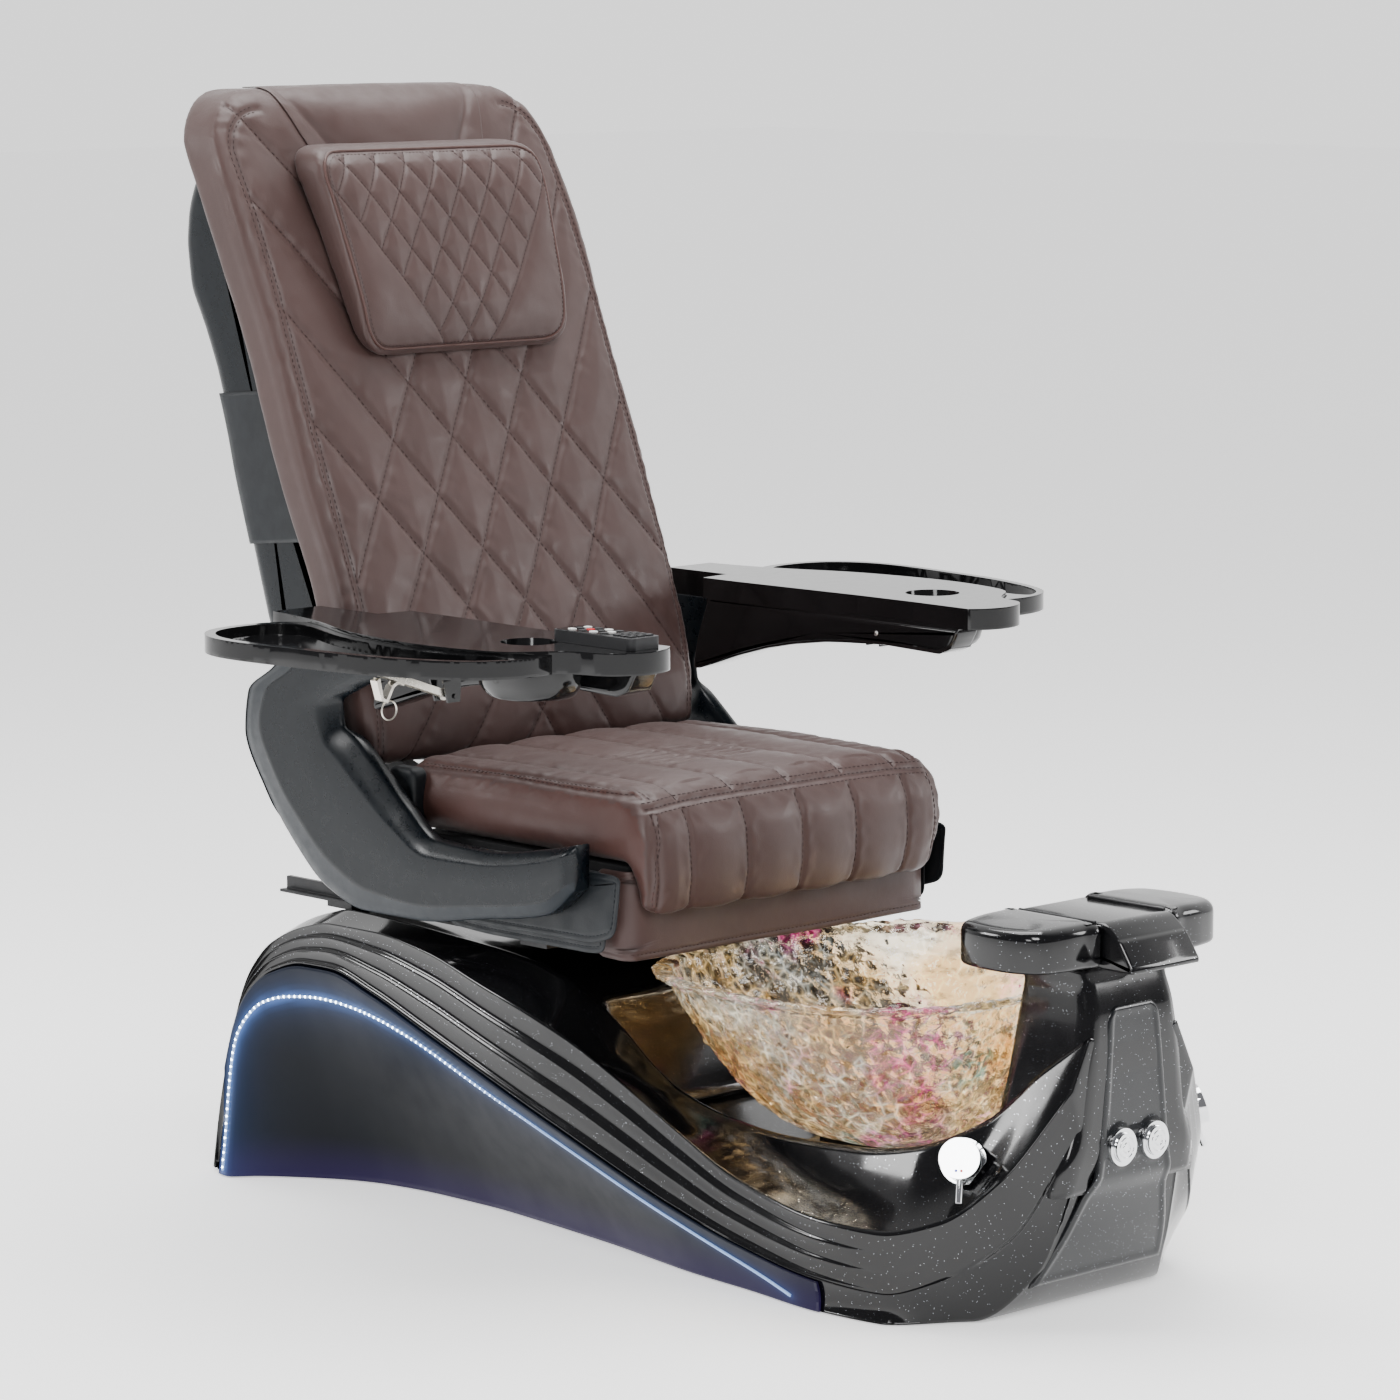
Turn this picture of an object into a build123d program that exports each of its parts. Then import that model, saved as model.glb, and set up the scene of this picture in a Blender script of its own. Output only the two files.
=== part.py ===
from build123d import *
import math
import os

# Pedicure spa chair, in millimetres. The origin is on the floor under the middle of the base.
# +X is the sitter's left, -Y is the front, +Z is up. Lengths are written for the left side and mirrored.

WALL = 7.0                      # moulded shell of the base
GAP = 0.3                       # running gap between parts that slide past each other

# Base lines, each point (y, half width, height), from the rear to the bow.
LIP_LINE = [
    (628, 294, 8), (615, 290, 92), (598, 284, 172), (575, 278, 252), (548, 272, 300), (505, 268, 340),
    (440, 266, 368), (386, 265, 380), (300, 264, 378), (200, 262, 372), (91, 255, 363), (0, 238, 342),
    (-40, 222, 310), (-70, 210, 282), (-110, 202, 245), (-160, 198, 216), (-240, 196, 195),
    (-350, 195, 186), (-480, 194, 192), (-570, 184, 208), (-640, 146, 244), (-700, 104, 312), (-745, 80, 350),
]
CREASE_LINE = [
    (628, 302, 6), (615, 302, 86), (598, 301, 164), (575, 300, 240), (548, 300, 288), (505, 300, 328),
    (440, 300, 356), (386, 300, 367), (300, 300, 368), (200, 300, 356), (91, 299, 325), (0, 295, 298),
    (-40, 291, 284), (-70, 288, 272), (-110, 285, 254), (-160, 281, 230), (-240, 277, 190),
    (-350, 275, 143), (-480, 273, 116), (-570, 260, 112), (-640, 226, 130), (-700, 180, 186), (-745, 112, 286),
]
EDGE_LINE = [
    (628, 306, 4), (615, 306, 78), (598, 306, 150), (575, 305, 222), (548, 305, 262), (505, 305, 292),
    (440, 305, 310), (386, 305, 311), (300, 305, 290), (200, 305, 256), (91, 304, 218), (0, 302, 186),
    (-40, 301, 172), (-70, 300, 162), (-110, 299, 148), (-160, 296, 130), (-240, 290, 102),
    (-350, 282, 71), (-480, 270, 46), (-570, 252, 40), (-640, 214, 66), (-700, 162, 118), (-745, 98, 240),
]
FLOOR_LINE = [
    (628, 300, 0), (615, 308, 0), (598, 318, 0), (575, 321, 0), (548, 291, 0), (505, 256, 0), (440, 215, 0),
    (386, 196, 0), (300, 184, 0), (200, 182, 0), (91, 190, 0), (0, 200, 0), (-40, 205, 0), (-70, 209, 0),
    (-110, 216, 0), (-160, 225, 0), (-240, 238, 0), (-350, 248, 0), (-480, 263, 0), (-570, 254, 0),
    (-640, 168, 0), (-700, 114, 62), (-745, 92, 205),
]
DECK_REAR_Y = -40               # the raised deck under the seat ends here
RECESS_FRONT_Y = -600           # front end of the recess that holds the bowl
RECESS_FLOOR_Z = 164.0
RECESS_SLOPE = 34.0             # width of the slope between the lip and the recess floor
RECESS_END = 12.0               # length of the steep slope at each end of the recess

# Light panel and its strip on each side of the base.
PANEL_GAP = 0.4
PANEL_THICK = 3.0
STRIP_THICK = 3.0
STRIP_WIDTH = 9.0
STRIP_LINE = [
    (587, 6), (585, 94), (573, 178), (536, 228), (476, 252), (415, 260), (334, 256), (235, 236),
    (100, 190), (-88, 126), (-268, 66), (-436, 12),
]

# Pedestal sections, each (height, half width, rear y, front y).
PEDESTAL = [
    (150, 116, -604, -736), (215, 104, -610, -750), (304, 90, -621, -749), (371, 80, -628, -745),
    (430, 74, -634, -729),
]
FRONT_LINE = [
    (40, -688), (100, -716), (150, -733), (180, -748), (245, -748), (304, -747), (371, -744), (392, -740),
]
ACCESS_OUTLINE = [(118, 42), (66, 195), (48, 368), (40, 380), (26, 385)]
ACCESS_PROUD = 3.0
ACCESS_THICK = 6.0
BUTTON_X = 29.0
BUTTON_Z = 213.0
BUTTON_R = 18.0

# Footrest.
REST_TOP = 490.0
REST_BOTTOM = 434.0
REST_SEAM_X = 62.0
REST_PIN_R = 2.0
REST_AXIS = (62.3, 487.5)       # x and z of the wing's hinge

# Bowl sections, each (height, half width, half depth, centre y), and its rounded-square exponent.
BOWL = [
    (172, 118, 108, -385), (188, 152, 138, -385), (214, 186, 166, -381), (260, 220, 196, -371),
    (310, 246, 222, -360), (345, 262, 238, -353), (364, 270, 245, -350),
]
BOWL_RIM = (376, 288, 258, -350)
BOWL_WALL = 8.0
BOWL_POWER = 2.8
BOWL_POINTS = 40
DRAIN_Y = -330.0
JET_Y = -425.0
LIGHT_Y = -528.0
BOWL_INSIDE_Z = 180.0

# Pipes inside the base, and the stubs they end in behind it.
DRAIN_Z = 60.0
DRAIN_R = 20.0
DRAIN_STUB = 38.0
SUPPLY_Z = 70.0
SUPPLY_R = 10.5
SUPPLY_STUB = 15.0
STUB_FROM = 630.0
HOT_X = 90.0
COLD_X = -90.0

# Taps: middle of the knob, and the direction its axis points.
TAP_CENTRE = (207.0, -658.0, 210.0)
TAP_AXIS = (0.77, -0.56, 0.31)
TAP_BODY_R = 24.0
TAP_BALL_R = 16.0

# Seat and slide.
SEAT_HALF = 262.0
RAIL_X = 235.0
DECK_TOP = 384.0

# Backrest: front face of the cushion as (y, z), and the recline hinge.
BACK_FACE = [
    (300, 577), (301, 604), (303, 640), (314, 700), (344, 800), (386, 900), (427, 1000), (467, 1100),
    (509, 1200), (556, 1300), (600, 1380), (622, 1424), (640, 1446),
]
BACK_CUSHION_DEPTH = 92.0
BACK_HALF = 306.0
BACK_HALF_LOW = 299.4           # below BACK_WAIST_Z, to pass between the side covers on reclining
BACK_WAIST_Z = 716.0
BACK_SHELL_HALF = 236.0
BACK_SHELL_REAR = [
    (706, 1364), (752, 1308), (762, 1243), (753, 1177), (711, 1105), (690, 1052), (660, 940), (628, 838),
    (598, 743), (560, 650),
]
RECLINE_AXIS = (300.0, 545.0)   # y and z

# Arms and trays.
ARM_TOP = 788.0
ARM_BOTTOM = 760.0
ARM_AXIS = (395.0, 722.0)       # y and z of the lift hinge
TRAY_TOP = 783.0
TRAY_AXIS = (478.0, 756.5)      # x and z of the tray's hinge
BRACE_AXIS = (385.0, 711.5)     # x and z of the brace's hinge
BRACE_TIP = (503.0, 753.0)
BRACE_Y = 54.0
CUP_CENTRE = (360.0, -70.0)
CUP_R = 36.0
CUP_WALL = 4.0
CUP_FLOOR = 722.0
COVER_OUT = 334.0
COVER_IN_LOW = 300.0
COVER_IN_HIGH = 312.0


def prism_x(points, x0, x1):
    """Extrude a closed (y, z) outline from x0 to x1."""
    outline = Polyline(*[(x0, y, z) for y, z in points], close=True)
    return extrude(make_face(outline), amount=x1 - x0, dir=(1, 0, 0))


def prism_y(points, y0, y1):
    """Extrude a closed (x, z) outline from y0 to y1."""
    outline = Polyline(*[(x, y0, z) for x, z in points], close=True)
    return extrude(make_face(outline), amount=y1 - y0, dir=(0, 1, 0))


def prism_z(points, z0, z1):
    """Extrude a closed (x, y) outline from z0 to z1."""
    outline = Polyline(*[(x, y, z0) for x, y in points], close=True)
    return extrude(make_face(outline), amount=z1 - z0, dir=(0, 0, 1))


def block(x0, x1, y0, y1, z0, z1):
    """A box between two corners."""
    middle = Pos((x0 + x1) / 2, (y0 + y1) / 2, (z0 + z1) / 2)
    return middle * Box(abs(x1 - x0), abs(y1 - y0), abs(z1 - z0))


def rod(start, end, radius):
    """A cylinder from one point to another."""
    start = Vector(*start)
    along = Vector(*end) - start
    upright = (Align.CENTER, Align.CENTER, Align.MIN)
    return Plane(origin=start, z_dir=along) * Cylinder(radius, along.length, align=upright)


def mirrored(shape):
    """The same piece on the other side of the chair."""
    return mirror(shape, about=Plane.YZ)


def ruled_solid(rings):
    """A solid with flat or ruled sides through closed rings of points."""
    return Solid.make_loft([Wire.make_polygon(ring, close=True) for ring in rings], ruled=True)


def at(line, place):
    """Read a line of (place, value, value ...) rows between its points."""
    rows = sorted(line)
    for low, high in zip(rows, rows[1:]):
        if low[0] <= place <= high[0]:
            part = (place - low[0]) / (high[0] - low[0])
            return [a + (b - a) * part for a, b in zip(low[1:], high[1:])]
    nearest = rows[0] if place < rows[0][0] else rows[-1]
    return list(nearest[1:])


def inset(points, amount):
    """Move each side of a closed, counter-clockwise outline inwards by an amount."""
    result = []
    count = len(points)
    for index in range(count):
        before, here, after = points[index - 1], points[index], points[(index + 1) % count]
        ax, az = here[0] - before[0], here[1] - before[1]
        bx, bz = after[0] - here[0], after[1] - here[1]
        a_length, b_length = math.hypot(ax, az), math.hypot(bx, bz)
        nx, nz = -az / a_length - bz / b_length, ax / a_length + bx / b_length
        scale = amount * 2 / max(nx * nx + nz * nz, 1.2)
        result.append((here[0] + nx * scale, here[1] + nz * scale))
    return result


# Base

def recess_share(y, shift):
    """1 inside the bowl recess, 0 outside it, and between the two on its steep ends."""
    rear = DECK_REAR_Y + shift
    front = RECESS_FRONT_Y - shift
    if y >= rear or y <= front - RECESS_END:
        return 0.0
    if y > rear - RECESS_END:
        return (rear - y) / RECESS_END
    if y < front:
        return 1 - (front - y) / RECESS_END
    return 1.0


def base_section(y, shift):
    """Closed (x, z) outline of the base at one y, counter-clockwise seen from the front."""
    lip_w, lip_z = at(LIP_LINE, y)
    crease_w, crease_z = at(CREASE_LINE, y)
    edge_w, edge_z = at(EDGE_LINE, y)
    floor_w, floor_z = at(FLOOR_LINE, y)
    share = recess_share(y, shift)
    deck_z = lip_z + (RECESS_FLOOR_Z - lip_z) * share
    deck_w = lip_w - RECESS_SLOPE
    half = [(floor_w, floor_z), (edge_w, edge_z), (crease_w, crease_z), (lip_w, lip_z), (deck_w, deck_z)]
    return half + [(-x, z) for x, z in reversed(half)]


def recess_stations(shift):
    """The y of the four ends of the recess's steep slopes."""
    rear = DECK_REAR_Y + shift
    front = RECESS_FRONT_Y - shift
    return [rear, rear - RECESS_END, front, front - RECESS_END]


def base_outer():
    """The base as a filled solid."""
    stations = {row[0] for row in LIP_LINE} | set(recess_stations(0))
    rings = []
    for y in sorted(stations, reverse=True):
        rings.append([(x, y, z) for x, z in base_section(y, 0)])
    return ruled_solid(rings)


def base_hollow():
    """The space inside the base, open at the floor."""
    stations = {row[0] for row in LIP_LINE if -705 < row[0] < 620} | set(recess_stations(WALL))
    rings = []
    for y in sorted(stations, reverse=True):
        outline = inset(base_section(y, WALL), WALL)
        on_floor = at(FLOOR_LINE, y)[1] == 0
        if on_floor:
            outline[0] = (outline[0][0], -1.0)
            outline[-1] = (outline[-1][0], -1.0)
        end_shift = -WALL if y > 540 else 0.0
        rings.append([(x, y + end_shift, z) for x, z in outline])
    return ruled_solid(rings)


def access_outline(margin):
    """Closed (x, z) outline of the access panel, grown by a margin."""
    half = [(x + margin, z) for x, z in ACCESS_OUTLINE]
    half[0] = (half[0][0], half[0][1] - margin)
    half[-1] = (half[-1][0], half[-1][1] + margin)
    return half + [(-x, z) for x, z in reversed(half)]


def tap_plane(offset):
    """Plane square to the left tap's axis, an offset out from the middle of the knob."""
    axis = Vector(*TAP_AXIS).normalized()
    return Plane(origin=Vector(*TAP_CENTRE) + axis * offset, z_dir=axis)


def tap_rod(start, end, radius):
    """A cylinder on the left tap's axis between two offsets."""
    axis = Vector(*TAP_AXIS).normalized()
    centre = Vector(*TAP_CENTRE)
    return rod(tuple(centre + axis * start), tuple(centre + axis * end), radius)


def make_base():
    """Tub shell, pan, light panels, strips, pedestal and access panel, and the filled outer shapes."""
    outer = base_outer()
    tub = outer - base_hollow()

    pedestal_outer = ruled_solid([
        [(w, rear, z), (w, front, z), (-w, front, z), (-w, rear, z)] for z, w, rear, front in PEDESTAL
    ])
    top_row = (PEDESTAL[-1][0] - WALL, *PEDESTAL[-1][1:])
    inner_rows = [(z, w - WALL, rear - WALL, front + WALL) for z, w, rear, front in PEDESTAL[:-1] + [top_row]]
    pedestal_inner = ruled_solid([
        [(w, rear, z), (w, front, z), (-w, front, z), (-w, rear, z)]
        for z, w, rear, front in inner_rows
    ])
    pedestal = pedestal_outer - pedestal_inner - outer

    opening = prism_y(access_outline(0.0), -800, -655)
    tub = tub - opening
    pedestal = pedestal - opening
    front_skin = [(y - ACCESS_PROUD, z) for z, y in FRONT_LINE]
    back_skin = [(y + ACCESS_THICK, z) for z, y in reversed(FRONT_LINE)]
    access = prism_x(front_skin + back_skin, -140, 140) & opening

    drain_hole = rod((0, DRAIN_Y, 100), (0, DRAIN_Y, 260), 22.0)
    outlet_hole = rod((0, 560, DRAIN_Z), (0, 700, DRAIN_Z), DRAIN_R - 1)
    tub = tub - drain_hole - outlet_hole
    for x in (HOT_X, COLD_X):
        tub = tub - rod((x, 560, SUPPLY_Z), (x, 700, SUPPLY_Z), SUPPLY_R - 1)
    valve_hole = tap_rod(-140, 40, 17.0)
    tub = tub - valve_hole - mirrored(valve_hole)
    pedestal = pedestal - valve_hole - mirrored(valve_hole)
    for x in (BUTTON_X, -BUTTON_X):
        access = access - rod((x, -800, BUTTON_Z), (x, -700, BUTTON_Z), BUTTON_R + 2)

    pan_half = [(w - 14, y) for y, w, z in FLOOR_LINE if -640 <= y <= 598]
    pan = prism_z(pan_half + [(-x, y) for x, y in reversed(pan_half)], 0, 5)

    panel = side_skin(PANEL_GAP, PANEL_GAP + PANEL_THICK)
    strip_from = PANEL_GAP + PANEL_THICK + 0.1
    strip = side_skin(strip_from, strip_from + STRIP_THICK) & strip_band()
    return {
        "tub_shell": tub,
        "base_pan": pan,
        "light_panel_left": panel,
        "light_panel_right": mirrored(panel),
        "led_strip_left": strip,
        "led_strip_right": mirrored(strip),
        "footrest_pedestal": pedestal,
        "access_panel": access,
    }, outer, pedestal_outer


def side_skin(inside, outside):
    """A thin skin over the left side wall between the lowest fin and the floor."""
    rings = []
    for y in [row[0] for row in EDGE_LINE if -480 <= row[0] <= 600]:
        edge_w, edge_z = at(EDGE_LINE, y)
        floor_w, floor_z = at(FLOOR_LINE, y)
        top, low = edge_z - 7, 2
        slope = (edge_w - floor_w) / (edge_z - floor_z)
        top_w, low_w = floor_w + slope * top, floor_w + slope * low
        ring = [(top_w + inside, top), (low_w + inside, low), (low_w + outside, low), (top_w + outside, top)]
        rings.append([(x, y, z) for x, z in ring])
    return ruled_solid(rings)


def strip_band():
    """The band that the light strip follows, as a slab along X."""
    outer_side, inner_side = [], []
    last = len(STRIP_LINE) - 1
    for index, (y, z) in enumerate(STRIP_LINE):
        before, after = STRIP_LINE[max(index - 1, 0)], STRIP_LINE[min(index + 1, last)]
        dy, dz = after[0] - before[0], after[1] - before[1]
        length = math.hypot(dy, dz)
        ny, nz = -dz / length * STRIP_WIDTH / 2, dy / length * STRIP_WIDTH / 2
        outer_side.append((y + ny, z + nz))
        inner_side.append((y - ny, z - nz))
    return prism_x(outer_side + inner_side[::-1], 150, 360)


# Bowl, drain, jet and plumbing

def bowl_ring(z, half_x, half_y, centre_y):
    """A rounded-square ring of points at one height."""
    ring = []
    for index in range(BOWL_POINTS):
        angle = 2 * math.pi * index / BOWL_POINTS
        c, s = math.cos(angle), math.sin(angle)
        x = half_x * math.copysign(abs(c) ** (2 / BOWL_POWER), c)
        y = half_y * math.copysign(abs(s) ** (2 / BOWL_POWER), s)
        ring.append((x, centre_y + y, z))
    return ring


def make_bowl():
    """Glass bowl with its flared rim, gasket, drain, stopper, jet and light."""
    top, half_x, half_y, centre_y = BOWL_RIM
    body = ruled_solid([bowl_ring(*row) for row in BOWL] + [bowl_ring(top, 278, 250, centre_y)])
    under_rim = bowl_ring(364, half_x - 4, half_y - 4, centre_y)
    rim = ruled_solid([under_rim, bowl_ring(top, half_x, half_y, centre_y)])
    hollow_rows = [(max(z, BOWL_INSIDE_Z), a - BOWL_WALL, b - BOWL_WALL, y) for z, a, b, y in BOWL]
    hollow_rows.append((top + 1, 278 - BOWL_WALL, 250 - BOWL_WALL, centre_y))
    bowl = body + rim - ruled_solid([bowl_ring(*row) for row in hollow_rows])
    bowl = bowl - rod((0, DRAIN_Y, 100), (0, DRAIN_Y, 260), 22.0)

    gasket = ruled_solid([bowl_ring(z, 112, 102, -385) for z in (RECESS_FLOOR_Z, 172)])
    gasket = gasket - ruled_solid([bowl_ring(z, 98, 62, -400) for z in (RECESS_FLOOR_Z - 1, 173)])
    gasket = gasket - rod((0, DRAIN_Y, 160), (0, DRAIN_Y, 180), 22.0)

    flange = rod((0, DRAIN_Y, BOWL_INSIDE_Z), (0, DRAIN_Y, BOWL_INSIDE_Z + 4), 33)
    flange = flange + rod((0, DRAIN_Y, 118), (0, DRAIN_Y, BOWL_INSIDE_Z), 22)
    flange = flange - rod((0, DRAIN_Y, 110), (0, DRAIN_Y, 190), 18)
    spider = block(-18.5, 18.5, DRAIN_Y - 3, DRAIN_Y + 3, 150, 158)
    spider = spider - rod((0, DRAIN_Y, 140), (0, DRAIN_Y, 170), 4.05)
    flange = flange + spider
    stopper = rod((0, DRAIN_Y, 178), (0, DRAIN_Y, 186), 17.5) + rod((0, DRAIN_Y, 138), (0, DRAIN_Y, 178), 4)
    stopper = stopper + rod((0, DRAIN_Y, 186), (0, DRAIN_Y, 190), 8)

    housing = rod((0, JET_Y, BOWL_INSIDE_Z), (0, JET_Y, BOWL_INSIDE_Z + 26), 46)
    housing = housing - rod((0, JET_Y, BOWL_INSIDE_Z + 3), (0, JET_Y, BOWL_INSIDE_Z + 21), 41)
    for index in range(8):
        angle = 45 * index
        slot = Pos(0, JET_Y, BOWL_INSIDE_Z + 24) * Rot(0, 0, angle) * Pos(27, 0, 0) * Box(20, 6, 10)
        housing = housing - slot
    impeller = rod((0, JET_Y, BOWL_INSIDE_Z + 4), (0, JET_Y, BOWL_INSIDE_Z + 9), 30)
    impeller = impeller + rod((0, JET_Y, BOWL_INSIDE_Z + 4), (0, JET_Y, BOWL_INSIDE_Z + 19), 8)
    for index in range(5):
        blade = Pos(0, JET_Y, BOWL_INSIDE_Z + 13) * Rot(0, 0, 72 * index) * Pos(18, 0, 0) * Box(24, 3, 10)
        impeller = impeller + blade
    motor = rod((0, JET_Y, 82), (0, JET_Y, 150), 44) + rod((0, JET_Y, 150), (0, JET_Y, 156.5), 52)
    light = rod((0, LIGHT_Y, RECESS_FLOOR_Z + 0.2), (0, LIGHT_Y, RECESS_FLOOR_Z + 5), 20)
    return {
        "foot_bowl": bowl,
        "bowl_gasket": gasket,
        "drain_fitting": flange,
        "drain_stopper": stopper,
        "jet_housing": housing,
        "jet_impeller": impeller,
        "jet_motor": motor,
        "bowl_light": light,
    }


def make_plumbing():
    """Drain pipe and the two supply pipes, each ending in a stub out of the rear wall."""
    drain = rod((0, DRAIN_Y, 40), (0, DRAIN_Y, 117.5), DRAIN_R)
    drain = drain + rod((0, DRAIN_Y, DRAIN_Z), (0, STUB_FROM, DRAIN_Z), DRAIN_R - 1)
    drain = drain + rod((0, STUB_FROM, DRAIN_Z), (0, STUB_FROM + DRAIN_STUB, DRAIN_Z), DRAIN_R)
    drain = drain - rod((0, DRAIN_Y, 46), (0, DRAIN_Y, 120), DRAIN_R - 3)
    drain = drain - rod((0, DRAIN_Y, DRAIN_Z), (0, 680, DRAIN_Z), DRAIN_R - 3)
    pipes = []
    for x in (HOT_X, COLD_X):
        pipe = rod((x, -560, SUPPLY_Z), (x, STUB_FROM, SUPPLY_Z), SUPPLY_R - 1)
        pipe = pipe + rod((x, STUB_FROM, SUPPLY_Z), (x, STUB_FROM + SUPPLY_STUB, SUPPLY_Z), SUPPLY_R)
        pipes.append(pipe - rod((x, -554, SUPPLY_Z), (x, 680, SUPPLY_Z), SUPPLY_R - 3))
    return {"drain_pipe": drain, "supply_pipes": Compound(children=pipes)}


def make_taps(outer, pedestal_outer):
    """Tap bodies with their base rings and valves, turning collars and tilting levers."""
    skirt = tap_rod(-90, -22, TAP_BODY_R + 4) - outer - pedestal_outer
    skirt = skirt.solids().sort_by(Axis(tuple(Vector(*TAP_CENTRE)), TAP_AXIS))[-1]
    body = skirt + (tap_rod(-24, -16.6, TAP_BODY_R - 2) - outer)
    stem = tap_rod(-120, -16.6, 17.0)
    body = body + stem
    collar = tap_rod(-16.2, -12, TAP_BODY_R - 2) + tap_plane(0) * Sphere(TAP_BALL_R)
    collar = collar - tap_rod(8, 40, 40)
    lever = tap_rod(-6.5, 17, TAP_BODY_R + 0.5) - tap_plane(0) * Sphere(TAP_BALL_R + GAP)
    axis = Vector(*TAP_AXIS).normalized()
    centre = Vector(*TAP_CENTRE)
    down = (Vector(0, 0, -1) - axis * Vector(0, 0, -1).dot(axis)).normalized()
    root = centre + down * 20
    lever = lever + rod(tuple(root), tuple(root + down * 32 + axis * 3), 4.0)
    bodies = Compound(children=[body, mirrored(body)])
    return {
        "tap_bodies": bodies,
        "tap_collar_left": collar,
        "tap_collar_right": mirrored(collar),
        "tap_lever_left": lever,
        "tap_lever_right": mirrored(lever),
    }


def make_front():
    """Footrest, its hinge pins, air buttons and their housings."""
    profile = [(-606, 430), (-606, REST_TOP), (-752, REST_TOP), (-798, 432), (-798, 430)]
    centre = prism_x(profile, -REST_SEAM_X, REST_SEAM_X)
    outside_x = REST_SEAM_X + 1
    corner = [(outside_x, REST_TOP - 4), (outside_x, REST_TOP + 1), (REST_SEAM_X - 4, REST_TOP + 1)]
    notch = prism_y(corner, -810, -600)
    pin = rod((REST_AXIS[0], -738, REST_AXIS[1]), (REST_AXIS[0], -616, REST_AXIS[1]), REST_PIN_R)
    centre = centre - notch - mirrored(notch) - pin - mirrored(pin)
    inner_x = REST_SEAM_X + 0.6
    wing_outline = [
        (inner_x, -605), (130, -604), (160, -610), (175, -628), (179, -660), (176, -700), (164, -730),
        (140, -744), (inner_x, -748),
    ]
    wing = prism_z(wing_outline, REST_BOTTOM, REST_TOP)
    wing_corner = [(inner_x - 1, REST_TOP - 6.5), (inner_x - 1, REST_TOP + 1), (inner_x + 4, REST_TOP + 1)]
    hinge_x, hinge_z = REST_AXIS
    running_pin = rod((hinge_x, -760, hinge_z), (hinge_x, -600, hinge_z), REST_PIN_R + 0.06)
    wing = wing - prism_y(wing_corner, -810, -590) - running_pin
    housings = []
    buttons = {}
    for name, x in (("air_button_left", BUTTON_X), ("air_button_right", -BUTTON_X)):
        outside = rod((x, -758, BUTTON_Z), (x, -751, BUTTON_Z), BUTTON_R + 5)
        barrel = rod((x, -756, BUTTON_Z), (x, -722, BUTTON_Z), BUTTON_R + 2)
        shell = outside + barrel - rod((x, -770, BUTTON_Z), (x, -725, BUTTON_Z), BUTTON_R + GAP)
        housings.append(shell)
        buttons[name] = rod((x, -763, BUTTON_Z), (x, -742, BUTTON_Z), BUTTON_R)
    parts = {
        "footrest_centre": centre,
        "footrest_pins": Compound(children=[pin, mirrored(pin)]),
        "footrest_wing_left": wing,
        "footrest_wing_right": mirrored(wing),
        "button_housings": Compound(children=housings),
    }
    parts.update(buttons)
    return parts


# Seat

def make_slide():
    """Rails and slide motor on the base, carriages and rod under the seat, control box inside the base."""
    rail = block(RAIL_X - 16, RAIL_X + 16, -36, 548, DECK_TOP, DECK_TOP + 4)
    rail = rail + block(RAIL_X - 4, RAIL_X + 4, -36, 548, DECK_TOP + 4, DECK_TOP + 20)
    for y in (20, 400):
        rail = rail + block(RAIL_X - 16, RAIL_X + 16, y, y + 50, 377, DECK_TOP)
    shoe = block(RAIL_X - 17, RAIL_X + 17, 30, 262, DECK_TOP + 7, DECK_TOP + 40)
    shoe = shoe - block(RAIL_X - 4 - GAP, RAIL_X + 4 + GAP, 20, 270, DECK_TOP, DECK_TOP + 20 + GAP)
    motor = block(-28, 28, 60, 385, DECK_TOP - 2, DECK_TOP + 38) - rod((0, 50, 404), (0, 390, 404), 8.05)
    slide_rod = rod((0, -124, 404), (0, 320, 404), 8.0) + block(-14, 14, -128, -112, 392, 424)
    box = block(-110, 110, 150, 330, 190, 290)
    return {
        "slide_rails": Compound(children=[rail, mirrored(rail)]),
        "slide_carriages": Compound(children=[shoe, mirrored(shoe)]),
        "slide_motor": motor,
        "slide_rod": slide_rod,
        "control_box": box,
    }


def side_cover():
    """C-shaped cover on the left, its upper end hollowed for the arm's lug."""
    low = [
        (-110, 473), (-113, 537), (57, 506), (150, 512), (210, 552), (246, 590), (500, 590), (470, 540),
        (420, 462), (366, 424), (300, 401), (211, 398), (60, 419), (-60, 440),
    ]
    high = [
        (246, 590), (300, 622), (333, 636), (333, 668), (300, 690), (240, 714), (222, 735), (226, 754),
        (395, 754), (424, 738), (458, 702), (520, 664), (528, 620), (500, 590),
    ]
    cover = prism_x(low, COVER_IN_LOW, COVER_OUT) + prism_x(high, COVER_IN_HIGH, COVER_OUT)
    cover = cover - block(COVER_IN_HIGH - 4, COVER_IN_HIGH + 7.8, 120, 440, 676, 800)
    cover = cover - block(COVER_IN_LOW - 1, COVER_OUT - 12, 60, 330, 432, 492)
    for y0, y1 in ((-60, -20), (330, 360)):
        cover = cover + block(262.3, COVER_IN_LOW + 2, y0, y1, 452, 480)
    pin_hole = rod((300, ARM_AXIS[0], ARM_AXIS[1]), (340, ARM_AXIS[0], ARM_AXIS[1]), 6.0)
    return cover - pin_hole


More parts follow.
